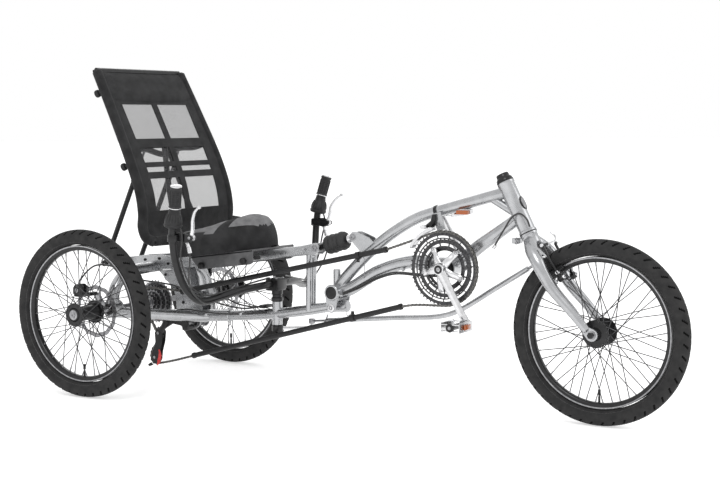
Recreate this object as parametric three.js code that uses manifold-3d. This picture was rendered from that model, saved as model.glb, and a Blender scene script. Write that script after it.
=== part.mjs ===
// Recumbent delta tricycle: one steered front wheel, two rear wheels, a mid-frame suspension
// pivot and under-seat steering. Millimetres, +X forward, +Y left, +Z up.
// Everything below is drawn about the ground point under the rear axle's middle; the last
// lines move the model so that its origin is the middle of its footprint.
import * as THREE from 'three';
import { mergeVertices } from 'three/addons/utils/BufferGeometryUtils.js';
import Module from 'manifold-3d';

const wasm = await Module();
wasm.setup();

// ---------------------------------------------------------------- driving dimensions
const GAP = 0.3;                 // between pieces that touch
const WHEEL_R = 253;             // 20-inch tyre
const TYRE_HALF = 25.5;
const RIM_R = 206;
const RIM_INNER_R = 191;
const RIM_HALF = 12.5;
const WHEEL_SIDES = 36;
const SPOKES = 24;                // plain spokes, half the laced wheel's 48
const SPOKE_R = 1.5;
const WHEELBASE = 1502;
const HALF_TRACK = 371;
const AXLE_R = 8.5;

const HEAD_TOP = [1220.7, 653.5];      // X and Z of the steering axis
const HEAD_BOTTOM = [1290.8, 514.5];
const HEAD_TUBE_R = 23.5;
const STEERER_R = 14.3;
const BLADE_Y = 60;

const PIVOT = [671.3, 318];            // suspension pivot
const PIVOT_AXLE_R = 8;
const BARREL_R = 21;
const BARREL_HALF = 30.6;

const BRACKET = [1057, 410];           // bottom bracket
const CRANK_LENGTH = 170;
const CRANK_ANGLE = -60;               // right crank, degrees above straight ahead
const CHAINRINGS = [[105, -56], [85, -50], [60.7, -44]];
const CHAIN_Y = -47;
const PEDAL_Y = 140;

const TOP_TUBE_R = 17;
const LOWER_TUBE_R = 19.5;
const MAIN_TUBE_R = 16;
const MAIN_TUBE_REAR_R = 19;
const RAIL_RISE = 0.13;                // seat rail, millimetres up per millimetre forward
const RAIL_Z = 364.5;                  // rail's centre above the rear axle
const RAIL_HALF_HEIGHT = 15;

const MAST_X = 451;
const MAST_R = 10;
const BAR_R = 11.5;
const LINK_REAR = [524.6, 80, 210.7];
const LINK_ELBOW = [1030, 36, 265];
const LINK_FRONT = [1300, 72, 434];

const SHOCK_REAR = [605, 446];
const SHOCK_FRONT = [735, 484];

const RECLINE = [118, 428];            // seat back hinge
const STAY_FOOT = [-158, 86, 373];
const STAY_HEAD = [17, 86, 748];

// ---------------------------------------------------------------- materials
const surface = (color, roughness, metalness) =>
  new THREE.MeshStandardMaterial({ color, roughness, metalness });
const metal = (color, roughness = 0.35) => surface(color, roughness, 0.9);
const plain = (color, roughness = 0.8) => surface(color, roughness, 0);
const SILVER = metal(0xc9cbcd);
const POLISHED = metal(0xd8d9da, 0.2);
const BLACK_METAL = metal(0x1b1b1c, 0.4);
const STEEL = metal(0x8f9193, 0.3);
const RUBBER = plain(0x242425, 0.9);
const BLACK_PLASTIC = plain(0x1d1d1e, 0.55);
const FABRIC = plain(0x303032, 0.95);

// ---------------------------------------------------------------- geometry helpers
const at = (x, y, z) => new THREE.Vector3(x, y, z);
const inPlane = ([x, z], y = 0) => at(x, y, z);

/** A closed three.js geometry as a solid with its faces pointing out. */
function solid(geometry) {
  geometry.deleteAttribute('normal');
  geometry.deleteAttribute('uv');
  const merged = mergeVertices(geometry, 1e-3);
  const triVerts = new Uint32Array(merged.index.array);
  const vertProperties = new Float32Array(merged.attributes.position.array);
  const body = new wasm.Manifold(new wasm.Mesh({ numProp: 3, vertProperties, triVerts }));
  if (body.volume() > 0) return body;
  const flipped = triVerts.slice();
  for (let i = 0; i < flipped.length; i += 3) {
    [flipped[i], flipped[i + 1]] = [flipped[i + 1], flipped[i]];
  }
  return new wasm.Manifold(new wasm.Mesh({ numProp: 3, vertProperties, triVerts: flipped }));
}

const join = (...solids) => solids.reduce((sum, piece) => sum.add(piece));

/** A round bar from a to b, tapering to endRadius. */
function rod(a, b, radius, sides = 10, endRadius = radius) {
  const length = a.distanceTo(b);
  const geometry = new THREE.CylinderGeometry(endRadius, radius, length, sides);
  geometry.translate(0, length / 2, 0);
  const along = b.clone().sub(a).normalize();
  geometry.applyQuaternion(new THREE.Quaternion().setFromUnitVectors(at(0, 1, 0), along));
  return solid(geometry.translate(a.x, a.y, a.z));
}

/** A round bar along a smooth curve through the points. */
function bend(points, radius, steps = 10, sides = 8) {
  const section = new THREE.Shape();
  for (let i = 0; i < sides; i += 1) {
    const angle = (i / sides) * 2 * Math.PI;
    const move = i ? 'lineTo' : 'moveTo';
    section[move](radius * Math.cos(angle), radius * Math.sin(angle));
  }
  const extrudePath = new THREE.CatmullRomCurve3(points, false, 'centripetal');
  return solid(new THREE.ExtrudeGeometry(section, { steps, extrudePath }));
}

/** A flat plate with its outline in X and Z, between two values of Y. */
function plate(outline, yLow, yHigh) {
  const shape = new THREE.Shape(outline.map(([x, z]) => new THREE.Vector2(x, z)));
  const geometry = new THREE.ExtrudeGeometry(shape, { depth: yHigh - yLow, bevelEnabled: false });
  return solid(geometry.rotateX(Math.PI / 2).translate(0, yHigh, 0));
}

function block(x, y, z) {
  const size = [x, y, z].map(([low, high]) => high - low);
  const middle = [x, y, z].map(([low, high]) => (low + high) / 2);
  return solid(new THREE.BoxGeometry(...size).translate(...middle));
}

/** A ring about a Y axis through the centre: profile points are radius and offset along Y. */
function ring(profile, centre, sides = WHEEL_SIDES) {
  const points = [...profile, profile[0]].map(([r, y]) => new THREE.Vector2(r, y));
  const geometry = new THREE.LatheGeometry(points, sides, Math.PI / sides);
  return solid(geometry.translate(...centre));
}

const disc = (centre, y, half, radius, bore, sides = 20) =>
  ring([[bore, y - half], [radius, y - half], [radius, y + half], [bore, y + half]], centre, sides);

const crossRod = ([x, z], yLow, yHigh, radius, sides) => rod(at(x, yLow, z), at(x, yHigh, z), radius, sides);

/** Two distances out from the middle on one side, as a low and a high value of Y. */
const span = (s, a, b) => [Math.min(s * a, s * b), Math.max(s * a, s * b)];

const model = new THREE.Group();

/** Adds a solid to the model as a named mesh. */
function add(name, body, material) {
  const { vertProperties, triVerts } = body.getMesh();
  const geometry = new THREE.BufferGeometry();
  geometry.setAttribute('position', new THREE.BufferAttribute(vertProperties, 3));
  geometry.setIndex(new THREE.BufferAttribute(triVerts, 1));
  geometry.computeVertexNormals();
  const mesh = new THREE.Mesh(geometry, material);
  mesh.name = name;
  model.add(mesh);
}

const SIDES = [['right', -1], ['left', 1]];

// ---------------------------------------------------------------- wheels
const rearAxle = (side) => [0, side * HALF_TRACK, WHEEL_R];
const frontAxle = [WHEELBASE, 0, WHEEL_R];
const flatR = (radius) => radius / Math.cos(Math.PI / WHEEL_SIDES);

function tyre(centre) {
  const bead = flatR(RIM_R + GAP);
  const wall = flatR(WHEEL_R - 24);
  const tread = flatR(WHEEL_R);
  const half = [[bead, 11], [wall, TYRE_HALF], [tread, 9]];
  return ring([...half, ...half.map(([r, y]) => [r, -y]).reverse()], centre);
}

function rim(centre) {
  const inner = flatR(RIM_INNER_R);
  return ring([[inner, -8], [RIM_R, -RIM_HALF], [RIM_R, RIM_HALF], [inner, 8]], centre);
}

/** Hub shell with its flanges and crossed spokes; offsets are along +Y from the wheel's middle. */
function hub(centre, { flangeR, flanges, bodyR, ends, boreR }) {
  const [low, high] = flanges;
  const half = 2.2;
  const outline = [[boreR, ends[0]], [bodyR * 0.8, ends[0]], [bodyR, low - half], [flangeR, low - half]];
  outline.push([flangeR, low + half], [bodyR, low + half], [bodyR, high - half], [flangeR, high - half]);
  outline.push([flangeR, high + half], [bodyR, high + half], [bodyR * 0.8, ends[1]], [boreR, ends[1]]);
  const pieces = [ring(outline, centre, 12)];
  const [cx, cy, cz] = centre;
  for (let i = 0; i < SPOKES; i += 1) {
    const rimAngle = (i / SPOKES) * 2 * Math.PI;
    const cross = (i % 4 < 2 ? 1 : -1) * 0.9;
    const flangeY = cy + (i % 2 ? low : high) + (i % 4 < 2 ? 1.6 : -1.6);
    const root = flangeR - 5;
    const tip = RIM_INNER_R - 2;
    const a = at(cx + root * Math.cos(rimAngle + cross), flangeY, cz + root * Math.sin(rimAngle + cross));
    const b = at(cx + tip * Math.cos(rimAngle), cy, cz + tip * Math.sin(rimAngle));
    pieces.push(rod(a, b, SPOKE_R, 3));
  }
  return join(...pieces);
}

function addWheels() {
  add('front_tyre', tyre(frontAxle), RUBBER);
  add('front_rim', rim(frontAxle), BLACK_METAL);
  const frontHub = { flangeR: 38, flanges: [-30, 30], bodyR: 20, ends: [-45, 45], boreR: 7 };
  add('front_hub', hub(frontAxle, frontHub), BLACK_METAL);
  for (const [name, side] of SIDES) {
    const centre = rearAxle(side);
    add(`rear_tyre_${name}`, tyre(centre), RUBBER);
    add(`rear_rim_${name}`, rim(centre), BLACK_METAL);
    const flanges = side > 0 ? [-50, 38] : [-38, 50];
    const ends = side > 0 ? [-62, 43] : [-43, 62];
    const shell = hub(centre, { flangeR: 35, flanges, bodyR: 22, ends, boreR: 5 });
    const shaft = rod(at(0, side * 3, WHEEL_R), at(0, side * 412, WHEEL_R), AXLE_R);
    const rotor = disc(centre, -side * 58, 1.2, 80, 12, 20);
    add(`rear_hub_${name}`, join(shell, shaft, rotor), BLACK_METAL);
  }
}

// ---------------------------------------------------------------- rear frame
const mainTubePoints = [[655, 274], [534, 251], [386, 231], [270, 221]].map((p) => inPlane(p));
const mainTube = (extra = 0) => join(
  bend(mainTubePoints, MAIN_TUBE_R + extra, 8),
  rod(inPlane([275, 221.5]), inPlane([-38, 203]), MAIN_TUBE_REAR_R + extra),
);

const crossTubePoints = [
  at(0, -236, 278), at(0, -226, 312), at(0, -200, 340), at(0, -150, 360), at(0, -80, 365),
  at(0, 80, 365), at(0, 150, 360), at(0, 200, 340), at(0, 226, 312), at(0, 236, 278),
];
const crossTube = (extra = 0) => bend(crossTubePoints, 18 + extra, 16);
const lowerStay = (s, extra = 0) => rod(at(8, s * 238, 242), at(190, s * 8, 212), 17 + extra, 12);
const lowerStays = (extra = 0) => join(...SIDES.map(([, s]) => lowerStay(s, extra)));
const GUSSET_BOLTS = [[38, 340], [97, 350], [85, 300], [108, 255], [112, 186], [157, 189]];
const railZ = (x) => RAIL_Z + RAIL_RISE * x;

function addRearFrame() {
  const mastBore = rod(at(MAST_X, 0, 180), at(MAST_X, 0, 300), MAST_R + 1.2);
  const mastHousing = rod(at(MAST_X, 0, 204), at(MAST_X, 0, 277), MAST_R + 5.5);
  const axleLug = block([-24, 24], [-14, 14], [205, 278]);
  const axleBore = crossRod([0, WHEEL_R], -20, 20, AXLE_R + 1.1);
  const pivotEnd = block([640, 690], [-BARREL_HALF, BARREL_HALF], [258, 289]);
  const tube = join(mainTube(), mastHousing, axleLug, pivotEnd).subtract(mastBore).subtract(axleBore);
  add('rear_main_tube', tube, SILVER);

  const housings = SIDES.map(([, side]) => crossRod([0, WHEEL_R], side * 214, side * 254, 27));
  const bores = crossRod([0, WHEEL_R], -300, 300, AXLE_R + 1.1);
  const [footX, footY, footZ] = STAY_FOOT;
  const shoeArm = rod(at(-10, 0, 368), at(footX + 8, 0, footZ), 9, 8);
  const shoeTube = crossRod([footX, footZ], 20 - footY, footY - 20, 11);
  const stayBore = crossRod([footX, footZ], -100, 100, 7);
  const arch = join(crossTube(), shoeArm, shoeTube).subtract(stayBore);
  const stays = lowerStays().subtract(mainTube(GAP));
  add('upper_cross_tube', join(arch, ...housings, stays).subtract(bores), SILVER);

  const gusset = [
    [12, 350], [118, 366], [134, 330], [138, 300], [146, 281], [168, 259], [182, 242], [174, 201], [171, 187],
    [161, 178], [121, 178], [98, 186], [93, 196], [80, 225], [76, 250], [77, 270], [60, 294], [46, 321],
  ];
  const gussets = SIDES.map(([, side]) => plate(gusset, side * 23 - 2, side * 23 + 2));
  const bolts = GUSSET_BOLTS.map((spot) => crossRod(spot, -28, 28, 4.5, 8));
  const keepOut = join(mainTube(GAP), crossTube(GAP), lowerStays(GAP));
  add('gusset_plates', join(...gussets, ...bolts).subtract(keepOut), SILVER);

  addSeatRail();
  addPivotClevis();
}

function addSeatRail() {
  const front = 588;
  const side = [
    [10, railZ(10) - RAIL_HALF_HEIGHT], [front, railZ(front) - RAIL_HALF_HEIGHT],
    [front, railZ(front) + RAIL_HALF_HEIGHT], [10, railZ(10) + RAIL_HALF_HEIGHT],
  ];
  const rail = plate(side, -20, 20).subtract(crossTube(GAP));
  const struts = [-12, 12].map((y) => rod(at(574, y, 262), at(578, y, 432), 8, 10));
  const strutPair = join(...struts).subtract(mainTube(GAP));
  const [eyeX, eyeZ] = SHOCK_REAR;
  const ear = [
    [560, 430], [608, 432], [eyeX + 13, eyeZ - 6], [eyeX + 13, eyeZ + 8], [eyeX + 4, eyeZ + 15], [560, 452],
  ];
  const ears = SIDES.map(([, s]) => plate(ear, s * 22 - 3, s * 22 + 3));
  const pin = crossRod(SHOCK_REAR, -22, 22, 5, 10);
  const [hingeX, hingeZ] = RECLINE;
  const lug = [
    [hingeX - 30, 384], [hingeX + 30, 390], [hingeX + 12, hingeZ + 6],
    [hingeX, hingeZ + 12], [hingeX - 12, hingeZ + 6],
  ];
  const hingeBore = crossRod(RECLINE, -40, 40, 6);
  const lugs = SIDES.map(([, s]) => plate(lug, s * 22 - 4, s * 22 + 4).subtract(hingeBore));
  add('seat_rail', join(rail, strutPair, ...ears, pin, ...lugs), SILVER);
}

function addPivotClevis() {
  const [px, pz] = PIVOT;
  const cheek = [];
  for (let i = 0; i <= 8; i += 1) {
    const angle = (i / 8) * Math.PI;
    cheek.push([px + 23 * Math.cos(angle), pz + 23 * Math.sin(angle)]);
  }
  cheek.push([px - 17, 262], [px + 12, 262]);
  const inner = BARREL_HALF + GAP;
  const cheeks = SIDES.map(([, s]) => plate(cheek, ...span(s, inner, inner + 6)));
  const betweenCaps = crossRod(PIVOT, -inner - 3, inner + 3, 30, 12);
  const caps = crossRod(PIVOT, -inner - 11, inner + 11, 18, 12).subtract(betweenCaps);
  const axle = crossRod(PIVOT, -inner - 3, inner + 3, PIVOT_AXLE_R);
  add('pivot_clevis', join(...cheeks, axle, caps), SILVER);
}

// ---------------------------------------------------------------- front frame
const headAxis = (distance) => {
  const low = inPlane(HEAD_BOTTOM);
  const up = inPlane(HEAD_TOP).sub(low).normalize();
  return low.addScaledVector(up, distance);
};
const HEAD_LENGTH = inPlane(HEAD_TOP).distanceTo(inPlane(HEAD_BOTTOM));

const topTubePoints = [
  [1232, 627], [1182, 614], [1047, 577], [950, 549], [884, 515], [817, 469], [748, 410], [695, 357], PIVOT,
].map((p) => inPlane(p));
const lowerTubePoints = [
  [1268, 560], [1163, 488], [1070, 425], [1000, 416], [917, 418], [816, 387], [713, 328], PIVOT,
].map((p) => inPlane(p));
const topTube = (extra = 0) => bend(topTubePoints, TOP_TUBE_R + extra, 14);

function addFrontFrame() {
  const headShell = rod(headAxis(0), headAxis(HEAD_LENGTH), HEAD_TUBE_R, 16);
  const headBore = rod(headAxis(-10), headAxis(HEAD_LENGTH + 10), STEERER_R + 1.4);
  add('head_tube', headShell.subtract(headBore), SILVER);

  const headKeepOut = rod(headAxis(-30), headAxis(HEAD_LENGTH + 30), HEAD_TUBE_R + GAP, 16);
  const barrelKeepOut = crossRod(PIVOT, -60, 60, BARREL_R + GAP, 16);
  const shockEar = [[727, 474], [752, 432], [770, 420], [806, 462], [762, 494], [742, 499], [727, 492]];
  const ears = SIDES.map(([, s]) => plate(shockEar, s * 16 - 2.5, s * 16 + 2.5));
  const pin = crossRod(SHOCK_FRONT, -16, 16, 5, 10);
  const top = topTube().subtract(headKeepOut).subtract(barrelKeepOut);
  add('boom_top_tube', join(top, ...ears, pin), SILVER);

  const shell = crossRod(BRACKET, -34, 34, 22, 16);
  const shellBore = crossRod(BRACKET, -40, 40, 14);
  const lower = bend(lowerTubePoints, LOWER_TUBE_R, 12)
    .subtract(topTube(GAP)).subtract(headKeepOut);
  const barrel = crossRod(PIVOT, -BARREL_HALF, BARREL_HALF, BARREL_R, 16);
  const pivotBore = crossRod(PIVOT, -40, 40, PIVOT_AXLE_R + 1);
  add('boom_lower_tube', join(lower, shell, barrel).subtract(shellBore).subtract(pivotBore), SILVER);
  addFrontDerailleur();
}

function addFrontDerailleur() {
  const [cx, cz] = BRACKET;
  const arc = (radius, from, to) => Array.from({ length: 6 }, (_, i) => {
    const angle = THREE.MathUtils.degToRad(from + ((to - from) * i) / 5);
    return [cx + radius * Math.cos(angle), cz + radius * Math.sin(angle)];
  });
  const outline = [...arc(113, 108, 150), ...arc(132, 150, 108)];
  const bridge = block([983, 1003], [-65, -43], [523, 527]);
  const cage = join(plate(outline, -66, -64), plate(outline, -44, -42), bridge);
  const arm = block([1000, 1014], [-65, -22], [519, 531]);
  const post = rod(at(1007, -26, 525), at(1015, -23, 562), 6, 8);
  add('front_derailleur', join(cage, arm, post), STEEL);
}

// ---------------------------------------------------------------- fork and front brake
function addFork() {
  const steerer = rod(headAxis(-26), headAxis(HEAD_LENGTH + 5), STEERER_R);
  const crown = rod(headAxis(-34), headAxis(-1), HEAD_TUBE_R, 14);
  const cap = rod(headAxis(HEAD_LENGTH + 0.6), headAxis(HEAD_LENGTH + 24), HEAD_TUBE_R, 14, 17);
  const crownKeepOut = rod(headAxis(-60), headAxis(20), HEAD_TUBE_R + GAP, 14);
  add('fork_crown', join(steerer, crown, cap), SILVER);
  for (const [name, s] of SIDES) {
    const line = [ // X, Y, Z and radius
      [1303, 16, 494, 17], [1322, 46, 470, 18.5], [1347, BLADE_Y, 439, 18], [1384, BLADE_Y, 379, 16.5],
      [1448, BLADE_Y, 311, 14.5], [1490, 58, 262, 12],
    ];
    const pieces = [];
    for (let i = 1; i < line.length; i += 1) {
      const [ax, ay, az, ar] = line[i - 1];
      const [bx, by, bz, br] = line[i];
      pieces.push(rod(at(ax, s * ay, az), at(bx, s * by, bz), ar, 8, br));
    }
    const tip = [[1478, 262], [1496, 272], [1514, 262], [1516, 246], [1502, 238], [1488, 240]];
    pieces.push(plate(tip, ...span(s, 53, 60)));
    pieces.push(rod(at(1384, s * 58, 381), at(1396, s * 42, 392), 7, 8), brakeStud(s, 3.6, 0, 31));
    if (s > 0) pieces.push(steeringArm());
    const axleBore = crossRod([WHEELBASE, WHEEL_R], -80, 80, 5.6);
    const blade = join(...pieces).subtract(crownKeepOut).subtract(axleBore);
    add(`fork_blade_${name}`, blade, SILVER);
  }
  const ends = SIDES.map(([, s]) => crossRod([WHEELBASE, WHEEL_R], ...span(s, 60.4, 70), 10, 8));
  add('front_axle', join(crossRod([WHEELBASE, WHEEL_R], -72, 72, 5), ...ends), STEEL);
}

/** Arm on the left blade that the drag link's front ball sits under. */
function steeringArm() {
  const [x, y, z] = LINK_FRONT;
  const stub = rod(at(x, y, z + 11), at(x, y, z + 27), 9, 8);
  return join(rod(at(1350, 66, 440), at(x, y, z + 21), 7, 8), stub);
}

/** Round bar on the axis that a brake arm swings about, between two distances from the blade. */
function brakeStud(s, radius, from, to) {
  const point = (distance) => at(1391 + 0.839 * distance, s * 42, 389 + 0.544 * distance);
  return rod(point(from), point(to), radius, 8);
}

function addFrontBrake() {
  for (const [name, s] of SIDES) {
    const arm = join(
      brakeStud(s, 9, 12, 26),
      rod(at(1406, s * 42, 402), at(1352, s * 42, 486), 5, 8),
      rod(at(1399, s * 42, 413), at(1385, s * 21, 415), 4, 6),
      rod(at(1365, s * 20.5, 403), at(1400, s * 20.5, 428.5), 5, 6),
    );
    add(`brake_arm_${name}`, arm.subtract(brakeStud(s, 4.4, -5, 60)), BLACK_METAL);
  }
}

// ---------------------------------------------------------------- crankset and pedals
function addCrankset() {
  const [cx, cz] = BRACKET;
  for (const [name, s] of SIDES) {
    const angle = THREE.MathUtils.degToRad(CRANK_ANGLE + (s > 0 ? 180 : 0));
    const end = [cx + CRANK_LENGTH * Math.cos(angle), cz + CRANK_LENGTH * Math.sin(angle)];
    const armY = s * 81;
    const arm = rod(at(cx, armY, cz), at(end[0], armY, end[1]), 11, 8, 8.5);
    const boss = crossRod(BRACKET, ...span(s, 36, 89), 17);
    const pin = crossRod(end, ...span(s, 81, 186), 4.5, 8);
    const pieces = [arm, boss, crossRod(end, ...span(s, 73, 89), 12), pin];
    if (s > 0) {
      pieces.push(crossRod([cx, cz], -33, 40, 11));
    } else {
      for (let i = 0; i < 5; i += 1) {
        const spoke = angle + ((i + 0.5) * 2 * Math.PI) / 5;
        const tip = at(cx + 56 * Math.cos(spoke), -62, cz + 56 * Math.sin(spoke));
        pieces.push(rod(at(cx, -68, cz), tip, 6, 6));
      }
    }
    add(`crank_arm_${name}`, join(...pieces), POLISHED);

    const half = 46;
    const [ex, ez] = end;
    const cage = block([ex - 31, ex + 31], [s * PEDAL_Y - half, s * PEDAL_Y + half], [ez - 13, ez + 13]);
    add(`pedal_${name}`, cage.subtract(crossRod(end, -250, 250, 5.8, 8)), STEEL);
  }
  const rings = CHAINRINGS.map(([r, y]) => disc([cx, 0, cz], y, 1.2, r, Math.min(r - 14, 58), 24));
  const spacer = disc([cx, 0, cz], -50, 8, 61, 57.5, 24);
  add('chainrings', join(...rings, spacer), STEEL);
}

// ---------------------------------------------------------------- chain and gears at the rear
const upperRun = [[118, 292], [868, 456]];
const lowerRun = [[160, 92], [917, 294]];
const JOCKEYS = [['jockey_wheel_upper', 30, 156], ['jockey_wheel_lower', 14, 77]];
const along = ([a, b], t) => inPlane(a, CHAIN_Y).lerp(inPlane(b, CHAIN_Y), t);

function addTransmission() {
  const steps = [
    [10, -64], [24, -64], [24, -58], [41, -58], [41, -50],
    [55, -50], [55, -41], [69, -41], [69, -28], [10, -28],
  ];
  add('cassette', ring(steps, [0, 0, WHEEL_R], 24), STEEL);
  const tube = (run, from, to) => rod(along(run, from), along(run, to), 8, 8);
  const strand = (a, b) => rod(inPlane(a, CHAIN_Y), inPlane(b, CHAIN_Y), 3.5, 4);
  add('chain_upper_rear', join(tube(upperRun, 0, 0.715), strand([66, 291], [125, 293])), BLACK_PLASTIC);
  add('chain_upper_front', join(tube(upperRun, 0.745, 1), strand([865, 455.5], [925, 474])), BLACK_PLASTIC);
  add('chain_lower_rear', join(tube(lowerRun, 0, 0.67), strand([36, 62], [165, 93])), BLACK_PLASTIC);
  add('chain_lower_front', join(tube(lowerRun, 0.68, 1), strand([912, 293], [1000, 300])), BLACK_PLASTIC);

  const cage = [[26, 170], [44, 164], [38, 132], [26, 72], [14, 62], [2, 70], [2, 82], [16, 140]];
  const hanger = [
    [60, 205], [88, 212], [150, 196], [150, 182], [84, 190], [52, 168], [36, 156], [28, 168], [40, 190],
  ];
  const derailleur = join(
    plate(cage, -60, -57), plate(hanger, -60, -54),
    block([128, 150], [-60, -25 - GAP], [172, 186]),
  ).subtract(mainTube(GAP)).subtract(lowerStays(GAP));
  const pins = JOCKEYS.map(([, x, z]) => crossRod([x, z], -58, -41, 3, 8));
  add('rear_derailleur', join(derailleur, ...pins), BLACK_PLASTIC);
  for (const [name, x, z] of JOCKEYS) add(name, disc([x, 0, z], -47.5, 3.5, 20, 4, 16), BLACK_PLASTIC);
}

// ---------------------------------------------------------------- rear brakes and cables
function addRearBrakes() {
  for (const [name, s] of SIDES) {
    const jaw = block([-80, -42], span(s, 300, 326), [296, 330]);
    const slot = block([-90, -30], span(s, 310, 316), [280, 322]);
    const outline = [[-34, 232], [-13, 240], [-13, 268], [-40, 304], [-56, 300]];
    const bracket = plate(outline, ...span(s, 254.6, 261));
    const tie = block([-56, -44], span(s, 256, 304), [296, 306]);
    add(`brake_caliper_${name}`, join(jaw.subtract(slot), bracket, tie), BLACK_METAL);
  }
  const runs = SIDES.map(([, s]) => bend([
    at(-62, s * 318, 334), at(-50, s * 316, 356), at(-8, s * 306, 391), at(52, s * 294, 390),
    at(100, s * 262, 356), at(150, s * 128, 322), at(200, s * 56, 284), at(260, s * 31, 260),
    at(340, s * 23, 250), at(404, s * 19, 259),
  ], 3, 14, 5));
  add('rear_brake_cables', join(...runs, block([398, 418], [-23, 23], [254, 264])), BLACK_PLASTIC);
  add('rear_gear_cable', bend([
    at(64, -71, 212), at(105, -68, 232), at(148, -62, 240), at(200, -48, 234), at(255, -33, 230),
    at(330, -23, 232), at(428, -21, 242),
  ], 2.5, 9, 5), BLACK_PLASTIC);
  add('front_cables', bend([
    at(705, -28, 346), at(760, -24, 384), at(816, -22, 426), at(917, -24, 452), at(1000, -26, 450),
    at(1070, -30, 462), at(1130, -36, 474), at(1188, -52, 478), at(1232, -62, 520), at(1262, -58, 560),
  ], 3, 18, 5), BLACK_PLASTIC);
}

// ---------------------------------------------------------------- steering controls
const gripLine = (s) => [at(353, s * 380, 520), at(366, s * 384, 580), at(379, s * 394, 636)];
const LEVER_PIVOT = [406, 495];        // X and Z of the brake lever's pin

function addSteering() {
  const mast = rod(at(MAST_X, 0, 184), at(MAST_X, 0, 345), MAST_R);
  const collar = rod(at(MAST_X, 0, 277.5), at(MAST_X, 0, 300), 17);
  const stem = block([MAST_X - 24, MAST_X + 18], [-26, 26], [312, 346]);
  const foot = rod(at(MAST_X, 0, 186), at(MAST_X, 0, 203), 17);
  const [lx, ly, lz] = LINK_REAR;
  const arm = rod(at(MAST_X, 0, 193), at(lx, ly, 193), 6, 8);
  const ball = rod(at(lx, ly, 187), at(lx, ly, lz - 8.6), 9, 8);
  const barHole = crossRod([MAST_X - 8, 330], -60, 60, BAR_R + 1, 12);
  add('steering_mast', join(mast, collar, stem, foot, arm, ball).subtract(barHole), BLACK_METAL);

  for (const [name, s] of SIDES) addBar(name, s);
}

/** One side's handlebar with its grip, twist shifter and brake lever. */
function addBar(name, s) {
  const [low, middle, top] = gripLine(s);
  const rises = [
    at(MAST_X - 8, s * GAP, 330), at(MAST_X - 8, s * 60, 330), at(420, s * 150, 322),
    at(385, s * 235, 303), at(371, s * 281, 302), at(360, s * 335, 345),
    at(352, s * 366, 420), at(350, s * 376, 480),
  ];
  const bar = join(
    rod(rises[0], rises[1], BAR_R), bend([...rises.slice(1), low], BAR_R, 11),
    rod(low, middle, BAR_R), rod(middle, top, BAR_R),
  );
  add(`handlebar_${name}`, join(bar, leverClamp(s)), BLACK_METAL);

  const onGrip = (t) => middle.clone().lerp(top, t);
  const gripBore = rod(onGrip(-0.3), onGrip(1.01), BAR_R + 2 * GAP);
  add(`grip_${name}`, rod(onGrip(0.04), onGrip(1.1), 16).subtract(gripBore), RUBBER);

  const onBar = (t) => low.clone().lerp(middle, t);
  const twistBore = rod(onBar(-0.5), onBar(1.5), BAR_R + 1.6);
  add(`shifter_${name}`, rod(onBar(0.08), middle, 26, 12, 15).subtract(twistBore), BLACK_PLASTIC);

  const [px, pz] = LEVER_PIVOT;
  const knee = at(px + 10, s * 366, pz + 50);
  const shank = rod(at(px + 2, s * 361, pz + 5), knee, 5.5, 8, 6);
  const blade = join(shank, rod(knee, at(px + 44, s * 380, pz + 90), 6, 8, 5));
  const eye = crossRod(LEVER_PIVOT, ...span(s, 355, 367), 9, 10);
  const hole = crossRod(LEVER_PIVOT, ...span(s, 340, 385), 4.4, 8);
  add(`lever_${name}`, join(blade, eye).subtract(hole), POLISHED);
}

/** Bracket on the bar that carries the brake lever's pin. */
function leverClamp(s) {
  const [px, pz] = LEVER_PIVOT;
  const reach = [
    [350, pz - 11], [350, pz + 9], [px - 10, pz + 11],
    [px + 11, pz + 5], [px + 11, pz - 5], [px - 10, pz - 11],
  ];
  const cheek = (y) => plate(reach, ...span(s, y, y + 3));
  const web = block([350, px - 18], span(s, 350, 372), [pz - 11, pz + 9]);
  const collar = rod(at(350.5, s * 375, 482), at(351.6, s * 375.6, 502), 17);
  return join(collar, web, cheek(350), cheek(369), crossRod(LEVER_PIVOT, ...span(s, 351, 371), 3.6, 8));
}

function addDragLink() {
  const [rear, elbow, front] = [LINK_REAR, LINK_ELBOW, LINK_FRONT].map((p) => at(...p));
  const rod1 = rod(rear, elbow, 7, 8);
  const rod2 = rod(elbow, front, 7, 8);
  const knuckle = (p) => rod(p.clone().add(at(0, 0, -8)), p.clone().add(at(0, 0, 8)), 10, 10);
  const elbowBall = rod(elbow.clone().lerp(rear, 0.012), elbow.clone().lerp(front, 0.03), 7, 8);
  add('drag_link', join(rod1, rod2, knuckle(rear), knuckle(front), elbowBall), SILVER);
}

// ---------------------------------------------------------------- shock absorber
function addShock() {
  const rear = inPlane(SHOCK_REAR);
  const front = inPlane(SHOCK_FRONT);
  const length = rear.distanceTo(front);
  const point = (distance) => rear.clone().lerp(front, distance / length);
  const body = join(rod(point(8), point(34), 14), rod(point(30), point(98), 29));
  const chamber = rod(point(20), point(110), 7.5);
  const rearBore = crossRod(SHOCK_REAR, -40, 40, 5.9, 10);
  const boot = join(crossRod(SHOCK_REAR, -10, 10, 12), body).subtract(chamber).subtract(rearBore);
  add('shock_body', boot, BLACK_PLASTIC);
  const shaft = rod(point(45), point(length - 9), 6);
  const frontBore = crossRod(SHOCK_FRONT, -40, 40, 6.8, 10);
  const stop = rod(point(115), point(length - 8), 10);
  add('shock_shaft', join(crossRod(SHOCK_FRONT, -10, 10, 12), shaft, stop).subtract(frontBore), STEEL);
}

// ---------------------------------------------------------------- seat
const backLine = [
  [150, 462], [118, 474], [104, 505], [106, 545], [96, 610], [63, 700], [-10, 850], [-79, 984],
];

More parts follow.
